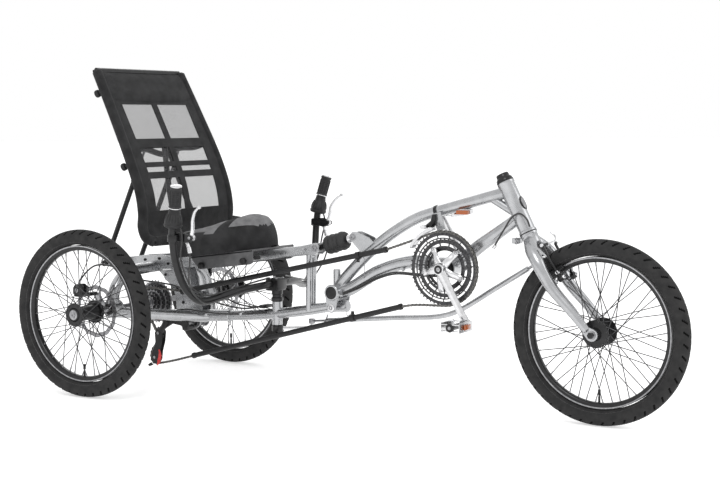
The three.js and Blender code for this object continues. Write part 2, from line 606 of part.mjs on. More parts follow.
function addSeat() {
  const railTop = (x) => railZ(x) + RAIL_HALF_HEIGHT + GAP;
  const panOutline = [
    [208, railTop(208)], [438, railTop(438)], [438, railTop(438) + 6], [208, railTop(208) + 6],
  ];
  const pan = plate(panOutline, -110, 110);
  const skirts = SIDES.map(([, s]) => plate(
    [[212, railTop(212) + 3], [436, railTop(436) + 3], [433, railTop(433) - 35], [240, railTop(240) - 35]],
    s * 108 - 2, s * 108 + 2,
  ));
  add('seat_pan', join(pan, ...skirts), BLACK_METAL);

  const cushionBase = (x) => railTop(x) + 6 + GAP;
  const side = [
    [172, cushionBase(172)], [440, cushionBase(440)], [450, cushionBase(450) + 16], [446, 496],
    [425, 528], [400, 540], [360, 542], [300, 522], [250, 508], [178, 496],
  ];
  const half = 190;
  const cuts = join(...SIDES.map(([, s]) => sideCut(s, half)));
  add('seat_cushion', plate(side, -half, half).subtract(cuts), FABRIC);
  addSeatBack();
}

/** Wedge that narrows the cushion to a blunt nose at its front. */
function sideCut(s, half) {
  const corners = [[306, half + 1], [314, 186], [345, 150], [385, 94], [424, 36], [470, 36], [470, half + 1]];
  const shape = new THREE.Shape(corners.map(([x, y]) => new THREE.Vector2(x, s * y)));
  return solid(new THREE.ExtrudeGeometry(shape, { depth: 300, bevelEnabled: false }).translate(0, 0, 350));
}

function addSeatBack() {
  const width = (z) => 231 - Math.max(0, z - 700) * 0.05;
  const tubePath = (s) => backLine.map(([x, z]) => at(x, s * (width(z) - 14), z));
  const hingeY = 60;
  const [hx, hz] = RECLINE;
  const sidesOf = SIDES.map(([, s]) => bend(tubePath(s), 10, 12, 6));
  const bars = [backLine[0], backLine[7], [38, 748]].map(([x, z]) => {
    const half = width(z) - 14;
    return crossRod([x, z], -half, half, 9, 8);
  });
  const ears = SIDES.map(([, s]) => plate(
    [[hx - 12, hz - 12], [hx + 12, hz - 12], [hx + 14, hz + 8], [158, 466], [142, 468], [hx - 14, hz + 8]],
    s * hingeY - 3, s * hingeY + 3,
  ));
  const hingePin = crossRod(RECLINE, -hingeY, hingeY, 5, 8);
  add('seat_back_frame', join(...sidesOf, ...bars, ...ears, hingePin), BLACK_METAL);

  const thick = 3;
  const front = backLine.slice(2).map(([x, z]) => [x + 13, z + 4]);
  const outline = [...front, ...[...front].reverse().map(([x, z]) => [x + thick, z])];
  add('seat_back_cover', plate(outline, -231, 231), FABRIC);
  addStays();
}

function addStays() {
  const foot = ([x, y, z], s) => at(x, s * y, z);
  const lower = [];
  const upper = [];
  for (const [, s] of SIDES) {
    const low = foot(STAY_FOOT, s);
    const high = foot(STAY_HEAD, s);
    const onStay = (t) => low.clone().lerp(high, t);
    lower.push(rod(low, onStay(0.72), 8, 10).subtract(rod(onStay(0.2), high, 5.2, 8)));
    upper.push(rod(onStay(0.45), high, 4.2, 8));
  }
  const [fx, , fz] = STAY_FOOT;
  lower.push(crossRod([fx, fz], -86, 86, 5.5, 8));
  const [hx, , hz] = STAY_HEAD;
  upper.push(crossRod([hx, hz], -86, 86, 6, 8));
  add('seat_stay_lower', join(...lower), BLACK_METAL);
  add('seat_stay_upper', join(...upper), STEEL);
}

addWheels();
addRearFrame();
addFrontFrame();
addFork();
addFrontBrake();
addCrankset();
addTransmission();
addRearBrakes();
addSteering();
addDragLink();
addShock();
addSeat();

model.position.x = -WHEELBASE / 2;
const tricycle = new THREE.Group();
tricycle.add(model);

export default tricycle;
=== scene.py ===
"""Looks of a recumbent delta tricycle: every visible surface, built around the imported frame."""
import math

import bmesh
import bpy
import numpy as np
from mathutils import Matrix, Vector


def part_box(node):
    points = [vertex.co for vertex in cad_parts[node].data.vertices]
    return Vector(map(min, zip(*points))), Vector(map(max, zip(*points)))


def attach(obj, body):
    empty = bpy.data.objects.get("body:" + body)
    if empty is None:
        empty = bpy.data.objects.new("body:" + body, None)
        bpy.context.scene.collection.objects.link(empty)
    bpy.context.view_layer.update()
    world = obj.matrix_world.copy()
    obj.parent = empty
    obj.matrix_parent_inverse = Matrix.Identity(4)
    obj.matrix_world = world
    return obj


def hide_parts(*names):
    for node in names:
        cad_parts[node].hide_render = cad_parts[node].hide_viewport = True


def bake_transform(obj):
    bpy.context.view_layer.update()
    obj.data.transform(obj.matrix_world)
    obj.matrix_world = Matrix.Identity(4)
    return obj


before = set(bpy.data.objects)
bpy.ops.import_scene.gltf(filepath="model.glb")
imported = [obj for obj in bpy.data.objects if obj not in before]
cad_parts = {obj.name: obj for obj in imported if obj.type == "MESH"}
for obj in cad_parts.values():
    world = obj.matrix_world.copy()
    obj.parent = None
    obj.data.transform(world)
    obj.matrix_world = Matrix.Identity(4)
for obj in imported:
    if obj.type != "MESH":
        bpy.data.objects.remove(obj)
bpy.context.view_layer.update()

MM = 0.001
hub_low, hub_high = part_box("rear_tyre_right")
ORIGIN_X = (hub_low.x + hub_high.x) / 2  # the rear axle: shapes are in millimetres from the ground under it
WHEEL_R = 253.0
WHEELBASE = 1502.0
HALF_TRACK = 371.0
PIVOT = (671.3, 318.0)
BRACKET = (1057.0, 410.0)
CRANK_LENGTH = 170.0
CRANK_ANGLE = -60.0
CHAIN_Y = -47.0
CHAIN_PITCH = 12.7
HEAD_TOP = Vector((1220.7, 0, 653.5))
HEAD_BOTTOM = Vector((1290.8, 0, 514.5))
SIDES = (("right", -1), ("left", 1))
X, Y, Z = Vector((1, 0, 0)), Vector((0, 1, 0)), Vector((0, 0, 1))


# ------------------------------------------------------------------ camera and studio
def add_camera():
    yaw, pitch, roll = math.radians(31.387), math.radians(4.829), math.radians(-0.336)
    forward = Vector((-math.sin(yaw) * math.cos(pitch), math.cos(yaw) * math.cos(pitch), -math.sin(pitch)))
    level = Vector((math.cos(yaw), math.sin(yaw), 0))
    right = math.cos(roll) * level + math.sin(roll) * level.cross(forward)
    data = bpy.data.cameras.new("camera")
    data.lens = 73.49
    data.sensor_width = 36
    camera = bpy.data.objects.new("camera", data)
    bpy.context.scene.collection.objects.link(camera)
    turn = Matrix((right, right.cross(forward), -forward)).transposed()
    camera.matrix_world = Matrix.Translation((2.242, -3.679, 0.823)) @ turn.to_4x4()
    bpy.context.scene.camera = camera


def add_lamp(name, place, size, power):
    data = bpy.data.lights.new(name, "AREA")
    data.shape = "DISK"
    data.size = size
    data.energy = power
    lamp = bpy.data.objects.new(name, data)
    lamp.location = place
    lamp.rotation_mode = "QUATERNION"
    lamp.rotation_quaternion = (Vector(place) - Vector((0, 0, 0.4))).to_track_quat("Z", "Y")
    bpy.context.scene.collection.objects.link(lamp)


def add_studio():
    bpy.context.scene.view_settings.view_transform = "Standard"
    world = bpy.data.worlds.new("studio")
    bpy.context.scene.world = world
    world.use_nodes = True
    world.node_tree.nodes["Background"].inputs["Color"].default_value = (1, 1, 1, 1)
    world.node_tree.nodes["Background"].inputs["Strength"].default_value = 1.0
    add_lamp("key", (1.2, -2.6, 3.4), 1.4, 45)
    add_lamp("fill", (3.4, 1.2, 2.2), 2.2, 18)
    add_lamp("back", (-2.6, 2.4, 2.6), 2.0, 15)
    floor = bpy.data.meshes.new("floor")
    corners = [(60 * c, 60 * s, 0) for c, s in unit_circle(48)]
    floor.from_pydata(corners, [], [list(range(48))])
    stand = bpy.data.objects.new("floor", floor)
    bpy.context.scene.collection.objects.link(stand)
    paint = finish("floor_paint", (0.8, 0.8, 0.8), (0.84, 0.84, 0.84), rough=(0.8, 0.9),
                   Emission_Color=(1, 1, 1, 1), Emission_Strength=0.45, Specular_IOR_Level=0.1)
    stand.data.materials.append(paint)


# ------------------------------------------------------------------ materials
def finish(name, dark, light, rough=(0.3, 0.4), metallic=0.0, grain=60.0, bump=0.0, bump_scale=400.0,
           weave=0.0, alpha=None, **sockets):
    """A procedural material: colour and roughness drift between two values, over a fine bump or a weave."""
    material = bpy.data.materials.new(name)
    material.use_nodes = True
    nodes, links = material.node_tree.nodes, material.node_tree.links
    shader = nodes["Principled BSDF"]
    shader.inputs["Metallic"].default_value = metallic
    for socket, value in sockets.items():
        shader.inputs[socket.replace("_", " ")].default_value = value
    place = nodes.new("ShaderNodeTexCoord").outputs["Object"]
    drift = nodes.new("ShaderNodeTexNoise")
    drift.inputs["Scale"].default_value = grain
    drift.inputs["Detail"].default_value = 5
    links.new(place, drift.inputs["Vector"])
    ramp = nodes.new("ShaderNodeValToRGB")
    ramp.color_ramp.elements[0].position = 0.3
    ramp.color_ramp.elements[0].color = (*dark, 1)
    ramp.color_ramp.elements[1].position = 0.7
    ramp.color_ramp.elements[1].color = (*light, 1)
    links.new(drift.outputs["Fac"], ramp.inputs["Fac"])
    links.new(ramp.outputs["Color"], shader.inputs["Base Color"])
    spread = nodes.new("ShaderNodeMapRange")
    spread.inputs["To Min"].default_value, spread.inputs["To Max"].default_value = rough
    links.new(drift.outputs["Fac"], spread.inputs["Value"])
    links.new(spread.outputs["Result"], shader.inputs["Roughness"])
    height = None
    if weave:
        threads = []
        for direction in ("Y", "Z"):
            wave = nodes.new("ShaderNodeTexWave")
            wave.bands_direction = direction
            wave.inputs["Scale"].default_value = weave
            wave.inputs["Distortion"].default_value = 0.6
            links.new(place, wave.inputs["Vector"])
            threads.append(wave.outputs["Fac"])
        knit = nodes.new("ShaderNodeMath")
        knit.operation = "MULTIPLY"
        links.new(threads[0], knit.inputs[0])
        links.new(threads[1], knit.inputs[1])
        height = knit.outputs["Value"]
        if alpha:
            hole = nodes.new("ShaderNodeMapRange")
            hole.inputs["To Min"].default_value, hole.inputs["To Max"].default_value = alpha
            links.new(height, hole.inputs["Value"])
            links.new(hole.outputs["Result"], shader.inputs["Alpha"])
    elif bump:
        fine = nodes.new("ShaderNodeTexNoise")
        fine.inputs["Scale"].default_value = bump_scale
        fine.inputs["Detail"].default_value = 3
        links.new(place, fine.inputs["Vector"])
        height = fine.outputs["Fac"]
    if height is not None:
        relief = nodes.new("ShaderNodeBump")
        relief.inputs["Strength"].default_value = 0.6
        relief.inputs["Distance"].default_value = bump or 0.0004
        links.new(height, relief.inputs["Height"])
        links.new(relief.outputs["Normal"], shader.inputs["Normal"])
    return material


SILVER = finish("silver_paint", (0.36, 0.365, 0.375), (0.44, 0.445, 0.455), (0.22, 0.32), 0.92, 35,
                bump=0.00003, bump_scale=2500, Coat_Weight=0.5, Coat_Roughness=0.08)
ALLOY = finish("polished_alloy", (0.6, 0.6, 0.61), (0.72, 0.72, 0.73), (0.16, 0.3), 1.0, 90,
               bump=0.00004, bump_scale=900)
STEEL = finish("bright_steel", (0.24, 0.24, 0.25), (0.4, 0.4, 0.41), (0.22, 0.42), 1.0, 140,
               bump=0.00006, bump_scale=700)
DARK_STEEL = finish("dark_steel", (0.03, 0.03, 0.032), (0.09, 0.09, 0.093), (0.28, 0.5), 0.9, 160,
                    bump=0.00008, bump_scale=600)
CHAIN_STEEL = finish("oiled_chain", (0.05, 0.05, 0.05), (0.2, 0.195, 0.185), (0.25, 0.5), 0.9, 220,
                     bump=0.00008, bump_scale=900)
BLACK_METAL = finish("black_anodised", (0.007, 0.007, 0.0075), (0.016, 0.016, 0.017), (0.26, 0.4), 0.4, 70,
                     bump=0.00003, bump_scale=1500, Coat_Weight=0.12, Coat_Roughness=0.2)
BLACK_PLASTIC = finish("black_plastic", (0.007, 0.007, 0.0075), (0.015, 0.015, 0.016), (0.42, 0.58), 0.0, 80,
                       bump=0.00012, bump_scale=1300, Specular_IOR_Level=0.35)
CABLE = finish("cable_housing", (0.006, 0.006, 0.0065), (0.012, 0.012, 0.0125), (0.32, 0.42), 0.0, 120,
               bump=0.00003, bump_scale=2000, Coat_Weight=0.3)
TYRE = finish("tyre_rubber", (0.014, 0.014, 0.0145), (0.03, 0.0295, 0.0295), (0.72, 0.9), 0.0, 45,
              bump=0.00025, bump_scale=900, Specular_IOR_Level=0.25)
# Painted shade: the faces down in the tread grooves get a near-black, dull rubber so the recesses read dark.
GROOVE_SHADE = finish("tread_groove_shade", (0.002, 0.002, 0.002), (0.005, 0.005, 0.005), (0.9, 0.98), 0.0, 70,
                bump=0.0003, bump_scale=700, Specular_IOR_Level=0.05)
RUBBER = finish("grip_rubber", (0.01, 0.01, 0.0105), (0.022, 0.022, 0.023), (0.55, 0.75), 0.0, 90,
                bump=0.0002, bump_scale=1100)
GREY_METAL = finish("seat_pan_paint", (0.085, 0.085, 0.088), (0.12, 0.12, 0.123), (0.4, 0.55), 0.3, 60,
                    bump=0.00008, bump_scale=1600)
FABRIC = finish("charcoal_fabric", (0.014, 0.014, 0.0145), (0.03, 0.03, 0.031), (0.85, 0.97), 0.0, 30,
                weave=260, bump=0.0005, Sheen_Weight=0.06, Sheen_Roughness=0.5, Specular_IOR_Level=0.15)
GREY_FABRIC = finish("grey_mesh_fabric", (0.11, 0.11, 0.113), (0.19, 0.19, 0.195), (0.8, 0.95), 0.0, 50,
                     weave=200, bump=0.0007, Sheen_Weight=0.1, Sheen_Roughness=0.5, Specular_IOR_Level=0.2)
OPEN_MESH = finish("open_mesh", (0.05, 0.05, 0.052), (0.09, 0.09, 0.093), (0.8, 0.95), 0.0, 40,
                   weave=160, bump=0.0006, alpha=(0.5, 0.95), Specular_IOR_Level=0.2)
RED = finish("red_anodised", (0.45, 0.01, 0.01), (0.62, 0.02, 0.02), (0.25, 0.4), 0.3, 100,
             bump=0.00004, bump_scale=1200, Coat_Weight=0.4)
AMBER = finish("amber_reflector", (0.25, 0.05, 0.005), (0.4, 0.09, 0.01), (0.15, 0.3), 0.0, 300,
               bump=0.0006, bump_scale=380, Coat_Weight=0.5, Coat_Roughness=0.1)


# ------------------------------------------------------------------ shape helpers
def smooth_path(points, steps):
    """Points along a centripetal Catmull-Rom curve, `steps` to each stretch."""
    given = [Vector(p) for p in points]
    ends = [given[0] * 2 - given[1], *given, given[-1] * 2 - given[-2]]
    found = []
    for p0, p1, p2, p3 in zip(ends, ends[1:], ends[2:], ends[3:]):
        t1 = math.sqrt((p1 - p0).length)
        t2 = t1 + math.sqrt((p2 - p1).length)
        t3 = t2 + math.sqrt((p3 - p2).length)
        for i in range(steps):
            t = t1 + (t2 - t1) * i / steps
            a1 = p0.lerp(p1, t / t1)
            a2 = p1.lerp(p2, (t - t1) / (t2 - t1))
            a3 = p2.lerp(p3, (t - t2) / (t3 - t2))
            b1 = a1.lerp(a2, t / t2)
            b2 = a2.lerp(a3, (t - t1) / (t3 - t1))
            found.append(b1.lerp(b2, (t - t1) / (t2 - t1)))
    return [*found, given[-1]]


def across(axis):
    """Two directions square to an axis and to each other."""
    axis = axis.normalized()
    u = axis.cross(Z if abs(axis.z) < 0.9 else X).normalized()
    return u, axis.cross(u)


def unit_circle(count):
    return [(math.cos(2 * math.pi * k / count), math.sin(2 * math.pi * k / count)) for k in range(count)]


def ordered(side, a, b):
    """Two distances from the middle plane, on one side of it, lower first."""
    return sorted((side * a, side * b))


def mirrored(points, side):
    return [(x, y * side, z) for x, y, z in points]


def arc(centre, radius, start, end, count):
    """Points on a circle in an upright plane: centre is X and Z, angles in degrees above straight ahead."""
    turn = [math.radians(start + (end - start) * i / (count - 1)) for i in range(count)]
    return [(centre[0] + radius * math.cos(a), centre[1] + radius * math.sin(a)) for a in turn]


def on_circle(centre, radius, degrees):
    return arc(centre, radius, degrees, degrees, 2)[0]


def inset(outline, amount):
    """An outline moved inwards by an amount; works for either winding."""
    count = len(outline)
    area = sum(outline[i - 1][0] * outline[i][1] - outline[i][0] * outline[i - 1][1] for i in range(count))
    sign = 1 if area > 0 else -1
    moved = []
    for i in range(count):
        before, here, after = Vector(outline[i - 1]), Vector(outline[i]), Vector(outline[(i + 1) % count])
        a, b = (here - before).normalized(), (after - here).normalized()
        normal = Vector((-(a.y + b.y), a.x + b.x)) * sign
        spread = max(0.35, normal.length_squared / 2)
        moved.append(here + normal * (amount / spread / 2) if normal.length > 1e-6 else here)
    return [(p.x, p.y) for p in moved]


class Piece:
    """A mesh under construction: skins of points in millimetres, each with its material."""

    def __init__(self, name):
        self.name = name
        self.points, self.faces, self.kinds, self.materials = [], [], [], []

    def kind(self, material):
        if material not in self.materials:
            self.materials.append(material)
        return self.materials.index(material)

    def skin(self, rows, material, closed=True, loop=False, caps=True, choose=None):
        """Joins rows of points into a surface. closed joins each row's ends, loop the last row to the first.
        choose names the material of the face at a row and a column."""
        start, width = len(self.points), len(rows[0])
        for row in rows:
            self.points.extend(row)
        count = len(rows)
        for r in range(count if loop else count - 1):
            a, b = start + r * width, start + ((r + 1) % count) * width
            for c in range(width if closed else width - 1):
                d = (c + 1) % width
                self.faces.append((a + c, a + d, b + d, b + c))
                self.kinds.append(self.kind(choose(r, c) if choose else material))
        if caps and not loop:
            self.faces.append(tuple(range(start + width - 1, start - 1, -1)))
            self.faces.append(tuple(start + (count - 1) * width + c for c in range(width)))
            self.kinds.extend([self.kind(material)] * 2)
        return self

    def tube(self, points, radius, material, sides=20, steps=6, edge=1.2, flat=1):
        """A round bar along a smooth path; radius is a number or one for each given point.
        flat scales the second direction across it."""
        path = smooth_path(points, steps) if len(points) > 2 else [Vector(p) for p in points]
        given = [radius] * len(points) if isinstance(radius, (int, float)) else radius
        radii = np.interp(np.linspace(0, 1, len(path)), np.linspace(0, 1, len(given)), given)
        tangents = [(b - a).normalized() for a, b in zip([path[0], *path[:-1]], [*path[1:], path[-1]])]
        tangents[0] = (path[1] - path[0]).normalized()
        u = across(tangents[0])[0]
        circle = unit_circle(sides)
        rows = []
        edge = min(edge, min(radii) * 0.6)
        for i, (centre, tangent, r) in enumerate(zip(path, tangents, radii)):
            u = (u - tangent * u.dot(tangent)).normalized()
            v = tangent.cross(u) * flat
            layers = [(centre, r)]
            if i == 0:
                layers = [(centre, r - edge), (centre + tangent * edge, r)]
            elif i == len(path) - 1:
                layers = [(centre - tangent * edge, r), (centre, r - edge)]
            rows.extend([[at + (u * c + v * s) * size for c, s in circle] for at, size in layers])
        return self.skin(rows, material)

    def lathe(self, origin, axis, profile, material, sides=32, loop=False):
        """Turns a profile of radius and distance along the axis."""
        axis = Vector(axis).normalized()
        u, v = across(axis)
        base = Vector(origin)
        circle = unit_circle(sides)
        rows = [[base + axis * h + (u * c + v * s) * max(r, 0.02) for c, s in circle] for r, h in profile]
        return self.skin(rows, material, loop=loop)

    def plate(self, outline, low, high, material, edge=0.8, basis=(Vector((0, 0, 0)), X, Z, Y)):
        """A flat plate with chamfered edges; the outline is in the basis' first two directions."""
        origin, u, v, n = basis
        edge = min(edge, (high - low) / 2.5)
        small = inset(outline, edge)
        layers = [(small, low), (outline, low + edge), (outline, high - edge), (small, high)]
        rows = [[origin + u * a + v * b + n * h for a, b in shape] for shape, h in layers]
        return self.skin(rows, material)

    def block(self, low, high, material, edge=1.5):
        """A box with chamfered edges."""
        outline = [(low[0], low[2]), (high[0], low[2]), (high[0], high[2]), (low[0], high[2])]
        soft = []
        for i, here in enumerate(outline):
            here, before, after = Vector(here), Vector(outline[i - 1]), Vector(outline[(i + 1) % 4])
            soft.append(tuple(here + (before - here).normalized() * edge))
            soft.append(tuple(here + (after - here).normalized() * edge))
        return self.plate(soft, low[1], high[1], material, edge)

    def bolt(self, centre, axis, radius, height, material, washer=None):
        """A round-headed bolt with a hexagonal socket, standing on a washer."""
        profile = [(radius, 0), (radius, height * 0.7), (radius * 0.85, height), (radius * 0.5, height),
                   (radius * 0.45, height * 0.45), (0.1, height * 0.45)]
        self.lathe(centre, axis, profile, material, 16)
        if washer:
            disc = [(radius * 1.5, -0.2), (radius * 1.5, 0.8), (radius * 0.9, 1.1)]
            self.lathe(centre, axis, disc, washer, 20)
        return self

    def done(self, body, slot, replaces=(), solidify=0.0):
        """Makes the object, which rides on a body and stands for CAD nodes."""
        mesh = bpy.data.meshes.new(self.name)
        place = np.array([tuple(p) for p in self.points]) * MM
        place[:, 0] += ORIGIN_X
        mesh.from_pydata(place.tolist(), [], self.faces)
        mesh.polygons.foreach_set("material_index", self.kinds)
        for material in self.materials:
            mesh.materials.append(material)
        shape = bmesh.new()
        shape.from_mesh(mesh)
        if not solidify:
            bmesh.ops.recalc_face_normals(shape, faces=shape.faces)
        for face in shape.faces:
            face.smooth = True
        shape.to_mesh(mesh)
        shape.free()
        mesh.set_sharp_from_angle(angle=math.radians(38))
        made = bpy.data.objects.new(self.name, mesh)
        bpy.context.scene.collection.objects.link(made)
        if body:
            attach(made, body)
        if replaces:
            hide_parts(*replaces)
        return made


def polar(centre, radius, angle, y):
    """A point on a wheel-like circle about a Y axis; angle in radians above straight ahead."""
    return Vector((centre[0] + radius * math.cos(angle), y, centre[2] + radius * math.sin(angle)))


TOOTH = ((0.0, 0), (0.3, 0), (0.44, 4.2), (0.56, 4.2), (0.7, 0))  # share of the pitch, height over the root


def toothed(piece, centre, y, teeth, root, bore, material, thick=2.0):
    """A sprocket: a toothed ring about a Y axis."""
    pitch = 2 * math.pi / teeth
    outline = [((i + share) * pitch, root + rise) for i in range(teeth) for share, rise in TOOTH]
    rows = []
    for outer, h in ((False, -1), (True, -1), (True, 1), (False, 1)):
        rows.append([polar(centre, r if outer else bore, a, y + h * thick / 2) for a, r in outline])
    piece.skin(rows, material, loop=True)


# ------------------------------------------------------------------ wheels
TYRE_AROUND = 480
TYRE_ACROSS = 30
TREAD_TILES = 48
TREAD_ZONE = (14, 62)  # degrees away from the tyre's crown
TREAD_SLANT = 0.009
GROOVE_WIDTH = 0.21  # share of a tile
GROOVE_DEPTH = 1.8
BEAD_ANGLE = -64
SPOKES = 48
SPOKE_CROSSING = 0.93  # radians between a spoke's two ends


def groove_depth(phi, turn, side):
    """How deep the tread is cut at a place on the tyre, in millimetres."""
    off = abs(phi - 90)
    lean = (turn * TREAD_TILES + side * off * TREAD_SLANT) % 1
    cut = TREAD_ZONE[0] < off < TREAD_ZONE[1] and lean < GROOVE_WIDTH
    return GROOVE_DEPTH if cut else 0.0


def add_tyre(name, centre, body):
    piece = Piece(f"{name}_rubber")
    rows, depths = [], []
    for j in range(TYRE_AROUND):
        turn = j / TYRE_AROUND
        row, depth = [], []
        for i in range(TYRE_ACROSS + 1):
            phi = BEAD_ANGLE + (180 - 2 * BEAD_ANGLE) * i / TYRE_ACROSS
            deep = groove_depth(phi, turn, 1 if phi < 90 else -1)
            radius = 229.3 + (23.6 - deep) * math.sin(math.radians(phi))
            y = centre[1] + (25.3 - deep * 0.4) * math.cos(math.radians(phi))
            row.append(polar(centre, radius, turn * 2 * math.pi, y))
            depth.append(deep)
        rows.append(row)
        depths.append(depth)
    following = [*depths[1:], depths[0]]

    # Faces sunk in a groove take the darker groove rubber, painted shade in the recesses.
    def rubber(r, c):
        d = (c + 1) % len(depths[r])
        return GROOVE_SHADE if min(depths[r][c], depths[r][d]) + min(following[r][c], following[r][d]) > 1 else TYRE

    piece.skin(rows, TYRE, loop=True, choose=rubber)
    for side in (-1, 1):
        ridge = [(213.0, side * 17.8), (215.2, side * 20.2), (214.2, side * 18.4)]
        piece.lathe(centre, Y, ridge, GREY_METAL, 120, loop=True)
    piece.done(body, "tyre", [name])


def add_rim(name, centre, body):
    piece = Piece(f"{name}_extrusion")
    half = [(190, -3), (191.5, -8), (195, -10.6), (204.6, -12.4), (206, -12), (203.6, -9.5)]
    other_half = [(r, -h) for r, h in reversed(half)]
    piece.lathe(centre, Y, [*half, (202.6, 0), *other_half], BLACK_METAL, 120, loop=True)
    for side in (-1, 1):
        band = [(201.4, side * 12.0), (204.8, side * 12.9), (204.8, side * 12.3), (201.4, side * 11.4)]
        piece.lathe(centre, Y, band, STEEL, 120, loop=True)
    stem = Vector((centre[0], centre[1], centre[2] - 194))
    valve = [(3.2, 0), (3.2, 20), (2.4, 20), (2.4, 25), (4, 25), (4, 38), (3, 40)]
    piece.lathe(stem, Z, valve, BLACK_PLASTIC, 16)
    piece.done(body, "black_metal", [name])


def add_spokes(name, centre, body, flange_r, flanges):
    """Crossed spokes with their heads and nipples."""
    piece = Piece(name)
    for i in range(SPOKES):
        rim_angle = 2 * math.pi * (i + 0.5) / SPOKES
        near, leading = i % 2, (i // 2) % 2
        hub_angle = rim_angle + (SPOKE_CROSSING if leading else -SPOKE_CROSSING)
        flange_y = centre[1] + flanges[near]
        outside = 2.6 if leading else -2.6
        head = polar(centre, flange_r - 4.5, hub_angle, flange_y + outside)
        end = polar(centre, 192, rim_angle, centre[1] + (3 if near else -3))
        piece.tube([head, end], 1.35, DARK_STEEL, 6, edge=0.2)
        piece.tube([end.lerp(head, 0.07), end], 2.1, STEEL, 8, edge=0.4)
        piece.lathe(head, Y, [(2.0, -1.4), (2.4, 0), (2.0, 1.4)], DARK_STEEL, 8)
    piece.done(body, "black_metal")


def flange(radius, y):
    """Profile of one hub flange with rounded edges."""
    return [(radius * 0.6, y - 2.6), (radius - 1, y - 2.2), (radius, y - 1), (radius, y + 1),
            (radius - 1, y + 2.2), (radius * 0.6, y + 2.6)]


def add_front_hub():
    centre = (WHEELBASE, 0, WHEEL_R)
    piece = Piece("front_hub_shell")
    body = [(8, -45), (14, -45), (16, -40), (19, -34), *flange(38, -30), (20, -26), (18, -20),
            (18, 20), (20, 26), *flange(38, 30), (19, 34), (16, 40), (14, 45), (8, 45)]
    piece.lathe(centre, Y, body, BLACK_METAL, 48)
    piece.done("front_wheel", "black_metal", ["front_hub"])
    add_spokes("front_spokes", centre, "front_wheel", 38, (-30, 30))


def add_rear_hub(name, side):
    centre = (0, side * HALF_TRACK, WHEEL_R)
    body = f"rear_wheel_{name}"
    piece = Piece(f"rear_hub_{name}_shell")
    shell = [(9, 44), (17, 44), (19, 41), *flange(35, 38), (24, 33), (22, 20), (22, -36), (25, -45),
             *reversed(flange(35, -50)), (26, -55), (22, -62), (9, -62)]
    piece.lathe(centre, Y * side, shell, BLACK_METAL, 48)
    axle, washer = [(7.5, 0), (8.5, 1), (8.5, 300)], [(9, 43), (15, 43), (15, 44.6), (13, 45.2), (9, 45.2)]
    nut = [(8, 44), (8.8, 44.8), (8.8, 46.6), (4, 46.8), (4, 44.5), (0.1, 44.5)]
    piece.lathe((0, side * 3, WHEEL_R), Y * side, axle, STEEL, 24)
    piece.lathe(centre, Y * side, washer, STEEL, 32)
    piece.lathe(centre, Y * side, nut, STEEL, 6)
    for k in range(6):
        spot = polar(centre, 27, math.radians(60 * k + 15), centre[1] - side * 59.5)
        piece.bolt(spot, Y * -side, 3, 2.2, STEEL)
    piece.done(body, "black_metal", [f"rear_hub_{name}"])
    add_rotor(name, centre, side, body)
    add_spokes(f"rear_spokes_{name}", centre, body, 35, (side * 38, side * -50))


def add_rotor(name, centre, side, body):
    """A wavy brake disc with slots and bent arms; the slots are black pins, painted shade in place of
    openings.
    """
    piece = Piece(f"brake_disc_{name}")
    y = centre[1] - side * 58
    turns = np.linspace(0, 2 * math.pi, 144, False)
    section = ((66, -0.9), (79, -0.9), (79, 0.9), (66, 0.9))
    rows = [[polar(centre, r + 1.4 * math.cos(12 * a), a, y + h) for a in turns] for r, h in section]
    piece.skin(rows, STEEL, loop=True)
    for k in range(6):
        a = math.radians(60 * k)
        bow = [polar(centre, 24 + 43 * t, a + 0.35 * t, y) for t in (0, 0.33, 0.66, 1)]
        piece.tube(bow, 2.6, STEEL, 8, 4, flat=0.4)
    carrier = [(24, -1.2), (31, -1.2), (31, 1.2), (24, 1.2)]
    piece.lathe((centre[0], y, centre[2]), Y, carrier, DARK_STEEL, 36, loop=True)
    # Painted shade: black pins fill the disc's slots instead of cutting them open.
    for k in range(36):
        spot = polar(centre, 72.5 + (k % 3 - 1) * 3, math.radians(10 * k), y)
        piece.lathe(spot - Y * 1.05, Y, [(1.5, 0), (1.5, 2.1)], BLACK_METAL, 8)
    piece.done(body, "steel")


def add_wheels():
    add_tyre("front_tyre", (WHEELBASE, 0, WHEEL_R), "front_wheel")
    add_rim("front_rim", (WHEELBASE, 0, WHEEL_R), "front_wheel")
    add_front_hub()
    for name, side in SIDES:
        centre = (0, side * HALF_TRACK, WHEEL_R)
        add_tyre(f"rear_tyre_{name}", centre, f"rear_wheel_{name}")
        add_rim(f"rear_rim_{name}", centre, f"rear_wheel_{name}")
        add_rear_hub(name, side)


# ------------------------------------------------------------------ rear frame
MAIN_TUBE = [(655, 0, 274), (534, 0, 251), (386, 0, 231), (270, 0, 221)]
HALF_CROSS = [(0, 80, 365), (0, 150, 360), (0, 200, 340), (0, 226, 312), (0, 236, 278)]
CROSS_TUBE = [(0, -y, z) for _, y, z in reversed(HALF_CROSS)] + HALF_CROSS
HOUSING = [(10, 0), (25, 0), (27, 1.5), (27, 6), (25.8, 7), (25.8, 33), (27, 34), (27, 38.5), (25, 40),
           (10, 40)]


def rail_z(x):
    return 364.5 + 0.13 * x


def add_main_tube():
    piece = Piece("main_tube")
    piece.tube(MAIN_TUBE, 16, SILVER, 32)
    piece.tube([(276, 0, 221.6), (-38, 0, 203)], 19, SILVER, 40, edge=2)
    mast_housing = [(10.6, 0), (14.6, 0), (15.6, 1), (15.6, 72), (14.6, 73), (10.6, 73)]
    piece.lathe((451, 0, 204), Z, mast_housing, SILVER, 36)
    piece.block((-24, -14, 205), (24, 14, 278), SILVER, 3)
    piece.lathe((0, -17, WHEEL_R), Y, [(10, 0), (24, 0), (25, 1), (25, 33), (24, 34), (10, 34)], SILVER, 36)
    piece.tube([(640, 0, 272), (706, 0, 277)], 17.5, SILVER, 36, edge=2)
    piece.done("rear_frame", "silver_frame", ["rear_main_tube"])


